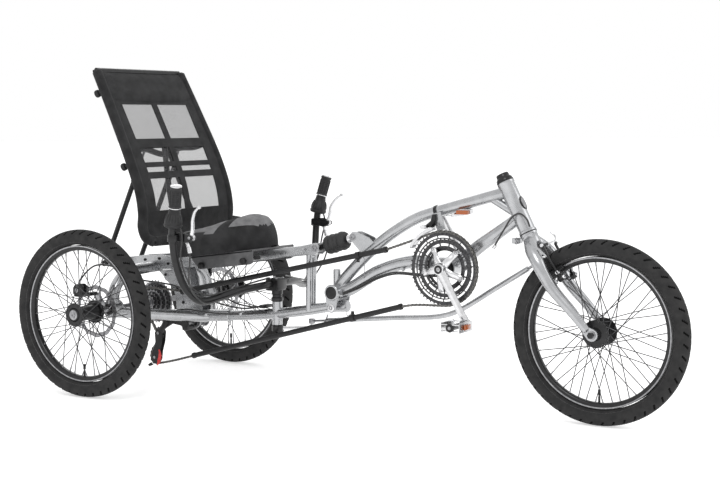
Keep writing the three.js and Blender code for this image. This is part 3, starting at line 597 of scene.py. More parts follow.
def add_cross_tube():
    piece = Piece("cross_tube")
    piece.tube(CROSS_TUBE, 18, SILVER, 32, 8)
    for _, side in SIDES:
        piece.lathe((0, side * 214, WHEEL_R), Y * side, HOUSING, SILVER, 40)
        seal = [(9.6, 0), (18, 0), (18, 0.5), (9.6, 0.5)]
        piece.lathe((0, side * 254, WHEEL_R), Y * side, seal, BLACK_METAL, 32)
        piece.tube([(0, side * 236, 300), (0, side * 236, 268)], [18, 21], SILVER, 32)
        outer, inner = Vector((8, side * 238, 242)), Vector((190, side * 8, 212))
        piece.tube([outer, inner], 17, SILVER, 32)
        weld(piece, outer, inner - outer, 17.6, SILVER)
    piece.done("rear_frame", "silver_frame", ["upper_cross_tube"])
    shoe = Piece("stay_shoe")
    cheek = [(64, 362), (66, 400), (20, 404), (-60, 398), (-130, 388), (-164, 384), (-170, 372), (-160, 362),
             (-40, 352)]
    for _, side in SIDES:
        shoe.plate(cheek, side * 26 - 2.5, side * 26 + 2.5, SILVER)
        for spot in ((16, 391), (-42, 385), (52, 376)):
            shoe.bolt((spot[0], side * 28.6, spot[1]), Y * side, 4.5, 3.5, BLACK_METAL)
    shoe.tube([(-100, 0, rail_z(-100) + 3), (58, 0, rail_z(58))], 16, SILVER, 32)
    shoe.tube([(-158, -66, 373), (-158, 66, 373)], 11, SILVER, 28)
    shoe.tube([(48, 0, rail_z(48)), (62, 0, rail_z(62))], 18.5, SILVER, 32)
    shoe.done("rear_frame", "silver_frame")


GUSSET_BOLTS = [(38, 340), (97, 350), (85, 300), (108, 255), (112, 186), (157, 189)]


def add_gussets():
    piece = Piece("gusset_sheets")
    hollow = arc((0, 253), 79, 64, 12, 10)
    outline = [(12, 350), (118, 366), (134, 330), (138, 300), (146, 281), (168, 259), (182, 242), (174, 201),
               (171, 187), (161, 178), (121, 178), (98, 186), (93, 196), (80, 225), *reversed(hollow),
               (28, 336)]
    for _, side in SIDES:
        piece.plate(outline, side * 23 - 2, side * 23 + 2, SILVER, 0.9)
        for x, z in GUSSET_BOLTS:
            piece.bolt((x, side * 25, z), Y * side, 4.6, 3.6, BLACK_METAL, STEEL)
    piece.done("rear_frame", "silver_frame", ["gusset_plates"])


def add_seat_rail():
    piece = Piece("seat_rail_beam")
    wide, tall, corner = 20, 15, 4
    section = []
    for a, b, start in ((1, 1, 0), (-1, 1, 90), (-1, -1, 180), (1, -1, 270)):
        for k in range(4):
            angle = math.radians(start + 30 * k)
            across_beam = a * (wide - corner) + corner * math.cos(angle)
            section.append((across_beam, b * (tall - corner) + corner * math.sin(angle)))
    along = Vector((1, 0, 0.13)).normalized()
    up = along.cross(-Y)
    rows = []
    for x, shrink in ((50, 2), (52, 0), (586, 0), (588, 2)):
        centre = Vector((x, 0, rail_z(x)))
        rows.append([centre + Y * a * (1 - shrink / wide) + up * b * (1 - shrink / tall) for a, b in section])
    piece.skin(rows, SILVER)
    piece.lathe((588, 0, rail_z(588)), X, [(12, -0.3), (12, 0.8), (3, 1)], BLACK_PLASTIC, 4)
    for y in (-12, 12):
        piece.tube([(574, y, 254), (578, y, 428)], 9.2, SILVER, 28)
    for x, z in ((573.5, 262), (577.45, 420)):
        piece.tube([(x, -12, z), (x, 12, z)], 7, SILVER, 20)
    ear = [(556, 428), (604, 426), (620, 440), (620, 452), (609, 463), (556, 452)]
    for _, side in SIDES:
        piece.plate(ear, side * 22 - 3, side * 22 + 3, SILVER, 1)
        piece.bolt((605, side * 25, 446), Y * side, 7, 4, STEEL, STEEL)
        piece.bolt((572, side * 25, 442), Y * side, 3.5, 2, STEEL)
        hinge = [(88, 384), (148, 390), (130, 434), (118, 441), (106, 434)]
        piece.plate(hinge, side * 22 - 4, side * 22 + 4, SILVER, 1)
    piece.tube([(605, -22, 446), (605, 22, 446)], 5, STEEL)
    piece.done("rear_frame", "silver_frame", ["seat_rail"])


def add_clevis():
    piece = Piece("pivot_cheeks")
    px, pz = PIVOT
    cheek = [*arc(PIVOT, 23.5, -10, 190, 24), (px - 20, 290), *arc((669, 273), 15, 190, 350, 14),
             (px + 18, 290)]
    for _, side in SIDES:
        piece.plate(cheek, *ordered(side, 31, 37), SILVER, 1.2)
        collar = [(19, 0), (24, 0), (24, 2.5), (22.5, 4), (19, 4)]
        piece.lathe((px, side * 36.5, pz), Y * side, collar, SILVER, 48, loop=True)
        cap = [(18.6, 0), (18.6, 4.4), (16.5, 5.6), (2, 6)]
        piece.lathe((px, side * 36, pz), Y * side, cap, BLACK_PLASTIC, 48)
        piece.bolt((669, side * 37, 273), Y * side, 6.5, 4, STEEL)
        piece.lathe((669, side * 37, 273), Y * side, [(12, -0.5), (12, 1.6), (11, 2.2), (5, 2.2)], ALLOY, 36)
    piece.tube([(px, -36, pz), (px, 36, pz)], 8, STEEL)
    piece.done("rear_frame", "silver_frame", ["pivot_clevis"])


# ------------------------------------------------------------------ front frame
TOP_TUBE = [(1232, 0, 627), (1182, 0, 614), (1047, 0, 577), (950, 0, 549), (884, 0, 515), (817, 0, 469),
            (748, 0, 410), (695, 0, 357), (676, 0, 334)]
LOWER_TUBE = [(1268, 0, 560), (1163, 0, 488), (1070, 0, 425), (1000, 0, 416), (917, 0, 418), (816, 0, 387),
              (713, 0, 328), (690, 0, 321)]


HEAD_LENGTH = (HEAD_TOP - HEAD_BOTTOM).length
HEAD_AXIS = (HEAD_TOP - HEAD_BOTTOM).normalized()


def head_point(distance):
    """A point on the steering axis, above the head tube's lower end."""
    return HEAD_BOTTOM + HEAD_AXIS * distance


def weld(piece, centre, axis, radius, material):
    """A rounded bead where two tubes meet."""
    bead = [(radius + 1.7 * math.sin(a), 1.7 * math.cos(a)) for a in np.linspace(0, math.pi, 7)]
    piece.lathe(centre, axis, [(radius - 1, 1.7), *bead, (radius - 1, -1.7)], material, 36, loop=True)


def add_head():
    piece = Piece("head_shell")
    long = HEAD_LENGTH
    shell = [(16, 1), (24.5, 1), (25.5, 2), (25.5, 7), (23.6, 9), (23.6, long - 9), (25, long - 7),
             (25, long - 1), (24, long), (16, long)]
    piece.lathe(head_point(0), HEAD_AXIS, shell, SILVER, 44)
    front = Vector((HEAD_AXIS.z, 0, -HEAD_AXIS.x))
    badge = (head_point(long * 0.52) + front * 22.8, Y, HEAD_AXIS, front)
    oval, inner_oval = ([(a * c, b * s) for c, s in unit_circle(28)] for a, b in ((13, 20), (10, 16)))
    piece.plate(oval, 0, 1.8, BLACK_METAL, 0.6, badge)
    piece.plate(inner_oval, 1.6, 2.4, STEEL, 0.3, badge)
    piece.done("front_frame", "silver_frame", ["head_tube"])


def add_booms():
    top = Piece("top_boom")
    top.tube(TOP_TUBE, 17.2, SILVER, 40, 8)
    weld(top, (1236, 0, 628), Vector((50, 0, 13)), 17.6, SILVER)
    ear = [(726, 476), (744, 458), (764, 438), (806, 470), (790, 484), (764, 494), (746, 500), (732, 500),
           (726, 492)]
    for _, side in SIDES:
        top.plate(ear, side * 16 - 2.5, side * 16 + 2.5, SILVER, 0.9)
        top.bolt((735, side * 18.5, 484), Y * side, 7, 4, STEEL, STEEL)
    top.tube([(735, -16, 484), (735, 16, 484)], 5, STEEL)
    top.tube([(690, 0, 322), (696, 0, 362)], 13, SILVER, 28)
    top.tube([(668, 0, 336), (668, 0, 385)], 11, SILVER, 28)
    tab = [(1000, 560), (1030, 568), (1046, 518), (1020, 512)]
    top.plate(tab, -25, -21, SILVER)
    top.bolt((1024, -25.5, 532), -Y, 4, 2.5, STEEL)
    top.block((1078, -12, 562), (1118, 10, 576), ALLOY, 1.5)
    top.block((1080, -27, 561), (1116, -12, 573), AMBER, 1.5)
    top.done("front_frame", "silver_frame", ["boom_top_tube"])

    low = Piece("lower_boom")
    low.tube(LOWER_TUBE, [17, *[19.5] * 7], SILVER, 40, 8)
    low.tube([(1268, 0, 560), (1180, 0, 606)], [13, 11], SILVER, 28)
    weld(low, (1262, 0, 556), Vector((105, 0, 72)), 17.4, SILVER)
    cx, cz = BRACKET
    low.lathe((cx, -34, cz), Y, [(15, 0), (21, 0), (22.4, 1.4), (22.4, 66.6), (21, 68), (15, 68)], SILVER, 44)
    barrel = [(9, 0), (20, 0), (21, 1), (21, 59.8), (20, 60.8), (9, 60.8)]
    low.lathe((PIVOT[0], -30.4, PIVOT[1]), Y, barrel, SILVER, 44)
    cup = [(12.5, 0), (20, 0), (20, 1.2), (17, 1.8), (12.5, 1.8)]
    for _, side in SIDES:
        low.lathe((cx, side * 34, cz), Y * side, cup, BLACK_METAL, 36)
    low.block((1246, -14, 484), (1268, 14, 500), SILVER, 2)
    for z in (487, 497):
        low.bolt((1262, -14, z), -Y, 4.5, 5, STEEL)
    for x, z in ((792, 352), (905, 396)):
        low.lathe((x, -12, z), -Y, [(4, 0), (4, 9), (3, 10)], SILVER, 16)
    low.done("front_frame", "silver_frame", ["boom_lower_tube"])


def add_front_derailleur():
    piece = Piece("front_derailleur_cage")
    for y in (-66, -44):
        outline = [*arc(BRACKET, 112, 106, 150, 14), *arc(BRACKET, 121, 150, 106, 14)]
        piece.plate(outline, y - 1, y + 1, ALLOY, 0.5)
    tail = on_circle(BRACKET, 116, 150)
    piece.tube([(tail[0], -66, tail[1]), (tail[0], -44, tail[1])], 4, STEEL, 12)
    piece.block((984, -65, 520), (1002, -44, 530), ALLOY, 2)
    arm = [(998, 520), (1010, 518), (1019, 545), (1017, 560), (1008, 560), (1002, 540)]
    piece.plate(arm, -34, -22, BLACK_METAL, 2)
    piece.tube([(1004, -52, 528), (1010, -30, 540)], 6, BLACK_METAL, 16)
    clamp_axis = Vector((97, 0, 28)).normalized()
    clamp = [(17.4, 0), (19.4, 0), (19.4, 10), (17.4, 10)]
    piece.lathe((1004, 0, 564.5), clamp_axis, clamp, BLACK_METAL, 40, loop=True)
    piece.bolt((1011, -24, 556), -Y, 4.5, 4, STEEL)
    piece.done("front_frame", "steel", ["front_derailleur"])


# ------------------------------------------------------------------ fork and brake
LINK_REAR = Vector((524.6, 80, 210.7))
LINK_ELBOW = Vector((1030, 36, 265))
LINK_FRONT = Vector((1300, 72, 434))
BLADE = [(1303, 16, 494), (1322, 46, 470), (1347, 60, 439), (1384, 60, 379), (1448, 60, 311), (1490, 58, 262)]
BLADE_R = [17, 18.5, 18.5, 16.5, 14, 10.5]
BRAKE_STUD = Vector((0.839, 0, 0.544))


def add_fork():
    crown = Piece("fork_steerer")
    long = HEAD_LENGTH
    crown.lathe(head_point(0), HEAD_AXIS, [(18, -34), (23, -32), (23.4, -8), (25, -6), (25, -1)], SILVER, 44)
    crown.lathe(head_point(0), HEAD_AXIS, [(16, -1), (26, -1), (26, 0.7), (16, 0.7)], BLACK_METAL, 44)
    crown.lathe(head_point(long), HEAD_AXIS, [(16, 0.6), (24.5, 0.6), (24.5, 4), (16, 4)], BLACK_METAL, 40)
    cap = [(16, 4.1), (23.6, 4.1), (23, 9), (18.5, 14), (18, 22), (16.5, 24), (7, 24.4), (6, 22), (0.1, 22)]
    crown.lathe(head_point(long), HEAD_AXIS, cap, BLACK_METAL, 40)
    crown.done("fork", "silver_frame", ["fork_crown"])
    for name, side in SIDES:
        piece = Piece(f"fork_leg_{name}")
        piece.tube(mirrored(BLADE, side), BLADE_R, SILVER, 36, 8, edge=4)
        drop = [(1476, 268), (1486, 276), (1500, 272), *arc((1502, 253), 17, 78, -150, 16), (1478, 256)]
        piece.plate(drop, *ordered(side, 53.5, 60), SILVER, 1.2)
        stud = Vector((1391, side * 42, 389))
        piece.tube([(1384, side * 56, 381), (1394, side * 43, 390)], 8, SILVER, 20)
        piece.tube([stud, stud + BRAKE_STUD * 31], 3.6, STEEL, 16)
        if side > 0:
            ball_x, ball_y, ball_z = LINK_FRONT
            piece.tube([(1350, 66, 440), (1326, 70, 450), (ball_x, ball_y, ball_z + 21)], 7.4, SILVER, 20)
            boss = [(5, 0), (9, 0), (10, 1), (10, 14), (9, 15), (3, 16)]
            piece.lathe((ball_x, ball_y, ball_z + 11), Z, boss, SILVER, 24)
            piece.lathe((ball_x, ball_y, ball_z + 27), Z, [(6, 0), (6, 6), (0.1, 6.5)], STEEL, 6)
        piece.done("fork", "silver_frame", [f"fork_blade_{name}"])
    axle = Piece("front_axle_nuts")
    for _, side in SIDES:
        for y, shape, material, sides in (
            (60.5, [(12, 0), (12, 2), (9, 2.2)], STEEL, 28),
            (62.4, [(8, 0), (8.8, 1), (8.8, 7), (6, 8.6), (0.1, 9)], BLACK_METAL, 6),
            (45.5, [(6, 0), (9, 0), (9, 7), (6, 7)], STEEL, 24),
        ):
            axle.lathe((WHEELBASE, side * y, WHEEL_R), Y * side, shape, material, sides)
    axle.done("fork", "steel", ["front_axle"])


def add_front_brake():
    for name, side in SIDES:
        piece = Piece(f"brake_arm_{name}_forging")
        pivot = Vector((1391, side * 42, 389))
        boss = [(4.6, 0), (9, 0), (9.6, 1), (9.6, 13), (8.6, 14), (4.6, 14)]
        piece.lathe(pivot + BRAKE_STUD * 12, BRAKE_STUD, boss, BLACK_METAL, 28)
        piece.bolt(pivot + BRAKE_STUD * 26.2, BRAKE_STUD, 5.5, 4, ALLOY)
        arm = [(1406, side * 42, 402), (1386, side * 44, 432), (1366, side * 42, 462), (1352, side * 41, 486)]
        piece.tube(arm, [8.5, 6.5, 5.5, 5.5], BLACK_METAL, 16, 6, flat=0.62)
        piece.tube([(1399, side * 42, 413), (1385, side * 24, 415)], 3.6, ALLOY, 14)
        piece.bolt((1398, side * 44, 415), Y * side, 6, 6, ALLOY)
        pad = [(1363, side * 20.5, 401), (1380, side * 20.5, 416), (1402, side * 20.5, 430)]
        piece.tube(pad, 5.6, BLACK_PLASTIC, 16, 5)
        piece.bolt((1352, side * 46, 486), Y * side, 5, 4, ALLOY)
        piece.done(f"brake_arm_{name}", "black_metal", [f"brake_arm_{name}"])
    top = Piece("brake_noodle")
    noodle = [(1353, -30, 487), (1353, 6, 490), (1356, 30, 494), (1350, 44, 506), (1334, 46, 516)]
    top.tube(noodle, 2.6, ALLOY, 12)
    top.tube([(1353, -36, 486), (1353, -12, 488)], 4, RUBBER, 14)
    top.done("fork", "steel")


# ------------------------------------------------------------------ crankset and pedals
def add_crankset():
    cx, cz = BRACKET
    rings = Piece("chainring_set")
    centre = (cx, 0, cz)
    for teeth, y, bore in ((52, -56, 93), (42, -50, 71), (30, -44, 50)):
        root = teeth * CHAIN_PITCH / 2 / math.pi - 3.2
        toothed(rings, centre, y, teeth, root, bore, DARK_STEEL)
    rings.lathe((cx, -57, cz), Y, [(84, 0), (87.5, 0), (87.5, 2), (84, 2)], DARK_STEEL, 90, loop=True)
    for k in range(15):
        turn = math.radians(24 * k + 6)
        rings.tube([polar(centre, 85, turn, -56), polar(centre, 95, turn, -56)], 1.8, DARK_STEEL, 8)
        rings.tube([polar(centre, 62, turn, -50), polar(centre, 73, turn, -50)], 2.2, DARK_STEEL, 8)
    rings.lathe((cx, -52, cz), Y, [(57, 0), (64, 0), (64, 3), (57, 3)], DARK_STEEL, 60, loop=True)
    rings.done("crankset", "steel", ["chainrings"])
    for name, side in SIDES:
        angle = CRANK_ANGLE + (180 if side > 0 else 0)
        end = on_circle(BRACKET, CRANK_LENGTH, angle)
        start = Vector((cx, side * 80, cz))
        tip = Vector((end[0], side * 81, end[1]))
        piece = Piece(f"crank_{name}")
        path = [start, start.lerp(tip, 0.3) + Y * side * 1.5, start.lerp(tip, 0.7) + Y * side * 1.5, tip]
        piece.tube(path, [10, 8, 7, 8], ALLOY, 24, 6, edge=2, flat=1.6)
        for x, y, z, shape, material, sides in (
            (cx, 64, cz, [(12, 0), (17, 0), (18.5, 3), (18, 20), (15, 25), (12, 25.5)], ALLOY, 36),
            (cx, 88, cz, [(12.5, 0), (12.5, 1.6), (11, 2.2), (6, 2.2), (5, 0.8), (0.1, 0.8)],
             BLACK_METAL, 32),
            (cx, 89, cz, [(4.5, 0.2), (4.5, 1.8), (0.1, 2)], STEEL, 6),
            (tip.x, 73, tip.z, [(7, 0), (12.5, 1), (13, 4), (13, 13), (12, 16), (6, 16.5)], ALLOY, 30),
        ):
            piece.lathe((x, side * y, z), Y * side, shape, material, sides)
        piece.tube([(tip.x, side * 86, tip.z), (tip.x, side * 186, tip.z)], 4.6, STEEL, 16)
        if side < 0:
            add_spider(piece, angle)
        else:
            piece.tube([(cx, -33, cz), (cx, 66, cz)], 11, STEEL, 24)
        piece.done("crankset", "polished_alloy", [f"crank_arm_{name}"])
        add_pedal(name, side, end)


def add_spider(piece, crank_angle):
    """Five arms from the right crank to the chainrings."""
    centre = (BRACKET[0], 0, BRACKET[1])
    for k in range(5):
        turn = math.radians(crank_angle + 36 + 72 * k)
        arm = [polar(centre, r, turn, y) for r, y in ((10, -72), (34, -70), (52, -62), (64, -60))]
        piece.tube(arm, [6, 5, 4.5, 5], ALLOY, 18, 5, edge=1.5, flat=2)
        piece.bolt(polar(centre, 63, turn, -63.5), -Y, 5, 2.5, STEEL)
        piece.tube([polar(centre, 63, turn, y) for y in (-62, -48)], 5.5, ALLOY, 16)


def add_pedal(name, side, end):
    """A cage pedal: two toothed plates, a barrel, cross bars and amber reflectors."""
    piece = Piece(f"pedal_{name}_cage")
    x, z = end
    low, high = 96, 184
    barrel = [(6, low - 2), (11, low), (12, low + 6), (8.5, low + 20), (8.5, high - 22), (12, high - 8),
              (12, high - 2), (5, high)]
    piece.lathe((x, 0, z), Y * side, barrel, BLACK_METAL, 28)
    for front in (-1, 1):
        bar = []
        for k in range(23):
            y = low + 4 + (high - low - 8) * k / 22
            bar.append((y, 12 + (2.6 if k % 2 else 0)))
        outline = [(y * side, h) for y, h in bar] + [(y * side, -h) for y, h in reversed(bar)]
        piece.plate(outline, -1, 1, ALLOY, 0.4, (Vector((x + front * 28, 0, z)), Y, Z, X))
        inner, outer = ordered(front, 30.4, 34.4)
        left, right = ordered(side, 122, 158)
        piece.block((x + inner, left, z - 7), (x + outer, right, z + 7), AMBER, 1)
    for y in (low + 5, high - 5):
        for h in (-1, 1):
            rail = [(x - 28, side * y, z + h * 9), (x + 28, side * y, z + h * 9)]
            piece.tube(rail, 3.2, ALLOY, 12, flat=0.6)
    piece.done(f"pedal_{name}", "steel", [f"pedal_{name}"])


# ------------------------------------------------------------------ chain, gears and derailleur
def add_chain(name, path, body, slot="steel"):
    """Links along a path: pairs of side plates on rollers, one pitch apart."""
    piece = Piece(name)
    points = smooth_path(path, 10) if len(path) > 2 else [Vector(p) for p in path]
    lengths = np.cumsum([0] + [(b - a).length for a, b in zip(points, points[1:])])
    count = int(lengths[-1] // CHAIN_PITCH)
    table = np.array([tuple(p) for p in points])
    steps = np.arange(count + 1) * CHAIN_PITCH
    place = [Vector(p) for p in zip(*(np.interp(steps, lengths, table[:, k]) for k in range(3)))]
    roller = [(1.8, 0), (1.8, 1.4), (3.6, 1.5), (3.6, 6.3), (1.8, 6.4), (1.8, 7.8)]
    for i, (a, b) in enumerate(zip(place, place[1:])):
        u = (b - a).normalized()
        v = Y.cross(u)
        half = (b - a).length / 2
        radius = 3.9
        shape = [(half + radius * math.cos(t), radius * math.sin(t)) for t in np.linspace(-1.3, 1.3, 7)]
        shape += [(0, 2.7)] + [(-p, -q) for p, q in shape] + [(0, -2.7)]
        wide = 3.0 if i % 2 else 2.0
        for side in (-1, 1):
            low, high = ordered(side, wide, wide + 0.9)
            piece.plate(shape, low, high, CHAIN_STEEL, 0.2, ((a + b) / 2, u, v, Y))
        piece.lathe(a - Y * 3.9, Y, roller, CHAIN_STEEL, 10)
    piece.done(body, slot)


UPPER_RUN = (Vector((118, CHAIN_Y, 292)), Vector((868, CHAIN_Y, 456)))
LOWER_RUN = (Vector((160, CHAIN_Y, 92)), Vector((917, CHAIN_Y, 294)))


def add_guide_tube(name, run):
    """A plastic tube round the chain, one straight piece across the suspension pivot."""
    piece = Piece(f"{name}_tube")
    along = run[1] - run[0]
    end = along.length
    collar = [(8.2, 0), (9.2, 0.8), (9.2, 9), (8, 10)]
    barrel = [(8, h) for h in np.linspace(20, end - 20, 50)]
    profile = [*collar, *barrel, *[(r, end - h) for r, h in reversed(collar)]]
    piece.lathe(run[0], along, [(5.2, 6), (5.2, 0), *profile, (5.2, end), (5.2, end - 6)], BLACK_PLASTIC, 28)
    made = piece.done(None, "black_plastic", [f"{name}_rear", f"{name}_front"])
    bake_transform(made)


def add_transmission():
    add_guide_tube("chain_upper", UPPER_RUN)
    add_guide_tube("chain_lower", LOWER_RUN)
    wrap = [(x, -56, z) for x, z in arc(BRACKET, 105, 109, -90, 28)]
    front = [(856, -47, 452), (940, -51, 480), *wrap, (960, -50, 301), (905, -47, 291)]
    add_chain("chain_front", front, "front_frame")
    gear = [(x, -47, z) for x, z in arc((0, WHEEL_R), 46, 94, 250, 14)]
    add_chain("chain_top_rear", [(128, -47, 294), (60, -47, 297), *gear], "rear_frame")
    cage = [(x, -47.5, z) for x, z in arc((30, 156), 21, 150, -20, 7)]
    low = [(x, -47.5, z) for x, z in arc((14, 77), 21, 160, 285, 7)]
    add_chain("chain_cage", [(-16, -47, 209), cage[0], (26, -47.5, 134), (-2, -47.5, 100), *low[1:],
                             (80, -47, 70), (172, -47, 95)], "rear_frame")
    add_cassette()
    add_rear_derailleur()
    add_chain_clips()


def add_cassette():
    piece = Piece("cassette_stack")
    teeth = (11, 13, 15, 17, 20, 23, 26, 30, 34)
    for k, count in enumerate(teeth):
        y = -62.5 + 4.1 * k
        root = count * CHAIN_PITCH / 2 / math.pi - 3.4
        material = DARK_STEEL if k % 2 else STEEL
        toothed(piece, (0, 0, WHEEL_R), y, count, root, max(12, root * 0.42), material, 1.9)
    piece.lathe((0, -64, WHEEL_R), Y, [(9.8, 0), (16, 0), (17, 1), (17, 36), (9.8, 36)], BLACK_METAL, 32)
    piece.lathe((0, -65.5, WHEEL_R), Y, [(9.8, 0), (15, 0), (15, 1.6), (9.8, 1.6)], STEEL, 24)
    piece.done("cassette", "steel", ["cassette"])


def add_rear_derailleur():
    piece = Piece("rear_derailleur_body")
    hanger = [(60, 205), (92, 214), (150, 200), (152, 182), (90, 190), (58, 172), (48, 184)]
    piece.plate(hanger, -60, -52, BLACK_METAL, 1.5)
    piece.block((128, -60, 172), (150, -8, 186), BLACK_METAL, 2)
    piece.tube([(62, -60, 200), (62, -44, 200)], 14, BLACK_METAL, 28, edge=2)
    piece.tube([(66, -56, 200), (54, -60, 178), (38, -58, 162)], [11, 9, 11], BLACK_PLASTIC, 20, 6, edge=3)
    piece.bolt((62, -60.5, 200), -Y, 6, 3, STEEL)
    outline = [(40, 172), (48, 160), (44, 128), (34, 96), (30, 68), (20, 56), (6, 58), (-1, 72), (6, 92),
               (18, 128), (16, 156), (26, 172)]
    piece.plate(outline, -58.5, -56, BLACK_PLASTIC, 0.8)
    piece.plate(inset(outline, 3), -39.5, -37, BLACK_PLASTIC, 0.8)
    piece.plate([(24, 50), (38, 62), (42, 82), (34, 100), (30, 80), (26, 66)], -60, -58.6, RED, 0.5)
    piece.tube([(34, -60, 66), (40, -60, 84), (34, -60, 104)], 2.6, RED, 12)
    for x, z in ((30, 156), (14, 77)):
        piece.tube([(x, -59, z), (x, -37, z)], 3, STEEL, 12)
        piece.bolt((x, -59, z), -Y, 4.5, 2, STEEL)
    piece.plate([(0, 60), (8, 52), (-8, 46), (-14, 52)], -59, -56, BLACK_PLASTIC)
    piece.done("rear_frame", "black_plastic", ["rear_derailleur"])
    for name, x, z in (("jockey_wheel_upper", 30, 156), ("jockey_wheel_lower", 14, 77)):
        wheel = Piece(f"{name}_pulley")
        toothed(wheel, (x, 0, z), -47.5, 11, 16.5, 6, RED if z < 100 else BLACK_PLASTIC, 5)
        wheel.lathe((x, -51.5, z), Y, [(4.2, 0), (8, 0), (8, 8), (4.2, 8)], STEEL, 20, loop=True)
        wheel.done(name.replace("_wheel", ""), "black_plastic", [name])


def add_chain_clips():
    """Collars on the guide tubes, each on a wire from the front frame."""
    piece = Piece("guide_tube_clips")
    collar = [(8.2, 0), (10.6, 0), (10.6, 14), (8.2, 14)]
    for run, share, sign, foot in (
        (UPPER_RUN, 0.87, -1, (772, -17, 362)),
        (LOWER_RUN, 0.78, 1, (712, -24, 300)),
    ):
        spot = run[0].lerp(run[1], share)
        along = (run[1] - run[0]).normalized()
        piece.lathe(spot - along * 7, along, collar, BLACK_PLASTIC, 28, loop=True)
        piece.tube([spot + Z * sign * 9, spot + Z * sign * 20], 5, BLACK_PLASTIC, 16)
        wire = [spot + Z * sign * 17, spot + Vector((-24, 9, 4)) * sign, Vector(foot)]
        piece.tube(wire, 1.1, STEEL, 8)
    piece.done("front_frame", "black_plastic")


# ------------------------------------------------------------------ rear brakes and cables
def add_rear_brakes():
    for name, side in SIDES:
        piece = Piece(f"caliper_{name}")
        half = [(-82, 304), (-74, 294), (-50, 294), (-42, 302), (-42, 326), (-52, 334), (-74, 332),
                (-82, 322)]
        bridge = [(-76, 323), (-48, 325), (-52, 335), (-74, 333)]
        bracket = [(-34, 232), (-13, 240), (-13, 268), (-36, 302), (-58, 306), (-56, 294)]
        for outline, reach, material, edge in (
            (half, (300, 309.5), BLACK_METAL, 2.5),
            (half, (316.5, 326), BLACK_METAL, 2.5),
            (bridge, (307, 319), BLACK_METAL, 2),
            (bracket, (254.6, 261), SILVER, 1),
        ):
            piece.plate(outline, *ordered(side, *reach), material, edge)
        low, high = ordered(side, 258, 302)
        piece.block((-57, low, 294), (-45, high, 305), BLACK_METAL, 1.5)
        piece.bolt((-64, side * 326, 314), Y * side, 7, 4, STEEL)
        piece.tube([(-62, side * 320, 330), (-58, side * 319, 346)], 4, ALLOY, 16)
        piece.done("rear_frame", "black_metal", [f"brake_caliper_{name}"])
    cables = Piece("rear_brake_housings")
    run = [(-60, 318, 338), (-50, 316, 356), (-8, 306, 391), (52, 294, 390), (100, 262, 356), (150, 128, 322),
           (200, 56, 284), (260, 31, 260), (340, 23, 250), (404, 19, 259)]
    for _, side in SIDES:
        cables.tube(mirrored(run, side), 2.6, CABLE, 12, 6)
    cables.block((398, -23, 254), (418, 23, 264), BLACK_METAL, 2)
    cables.done("rear_frame", "cable_housing", ["rear_brake_cables"])
    gear = Piece("rear_gear_housing")
    gear_run = [(64, -71, 212), (105, -68, 232), (148, -62, 240), (200, -48, 234), (255, -33, 230),
                (330, -23, 232), (428, -21, 242)]
    gear.tube(gear_run, 2.4, CABLE, 12, 6)
    for x, y, z in ((210, -34, 224), (330, -14, 232)):
        gear.lathe((x, y, z), -Y, [(5, 0), (5, 12), (3, 14)], SILVER, 14)
    gear.done("rear_frame", "cable_housing", ["rear_gear_cable"])
    front = Piece("front_housings")
    run = [(705, -28, 314), (760, -24, 336), (816, -22, 364), (880, -22, 383), (960, -22, 382),
           (1020, -24, 383)]
    for drop, rise in ((0, 0), (1.5, 5)):
        front.tube([(x, y - drop, z + rise) for x, y, z in run], 2.4, CABLE, 12, 6)
    front.lathe((1196, -25, 470), (10, -1, 12), [(3, 0), (4.6, 0.5), (4.6, 12), (3, 13)], ALLOY, 16)
    loop = [(1196, -25, 470), (1210, -27, 492), (1236, -32, 530), (1260, -38, 560), (1285, -44, 570),
            (1308, -48, 556), (1318, -50, 536)]
    front.tube(loop, 2.6, CABLE, 12, 8)
    front.done("front_frame", "cable_housing", ["front_cables"])


# ------------------------------------------------------------------ steering controls
def add_bars():
    mast = Piece("mast_assembly")
    foot = [(6, 0), (17, 1), (17.6, 3), (17.6, 17), (16, 18.6), (10, 19.2), (10, 92.5)]
    neck = [(10, 0), (17.5, 0), (18.5, 2), (18.5, 10), (15, 12), (15, 20), (17, 22), (17, 34), (12, 36),
            (12, 66), (9, 68), (0.1, 68)]
    clamp = [(424, 316), (428, 310), (466, 310), (470, 316), (470, 342), (464, 347), (430, 347), (424, 341)]
    mast.lathe((451, 0, 184), Z, foot, BLACK_METAL, 36)
    mast.lathe((451, 0, 277.6), Z, neck, BLACK_METAL, 36)
    mast.plate(clamp, -26, 26, BLACK_METAL, 4)
    for y in (-18, 18):
        for x in (428, 460):
            mast.bolt((x, y, 347), Z, 3.6, 3, STEEL)
    mast.tube([(451, 0, 193), (490, 44, 192), (524, 79, 192)], [10, 7.5, 9], ALLOY, 20, 5, flat=0.6)
    ball = [(4, 0), (9, 0.6), (10, 2), (10, 10), (8, 12), (5, 13), (5, 16)]
    mast.lathe((524.6, 80, 186), Z, ball, ALLOY, 28)
    mast.done("handlebar", "black_metal", ["steering_mast"])
    for name, side in SIDES:
        add_bar(name, side)


BAR = [(443, 0.4, 330), (443, 60, 330), (420, 150, 322), (385, 235, 303), (371, 281, 302), (360, 335, 345),
       (352, 366, 420), (350, 376, 480), (353, 380, 520), (366, 384, 580), (379, 394, 636)]


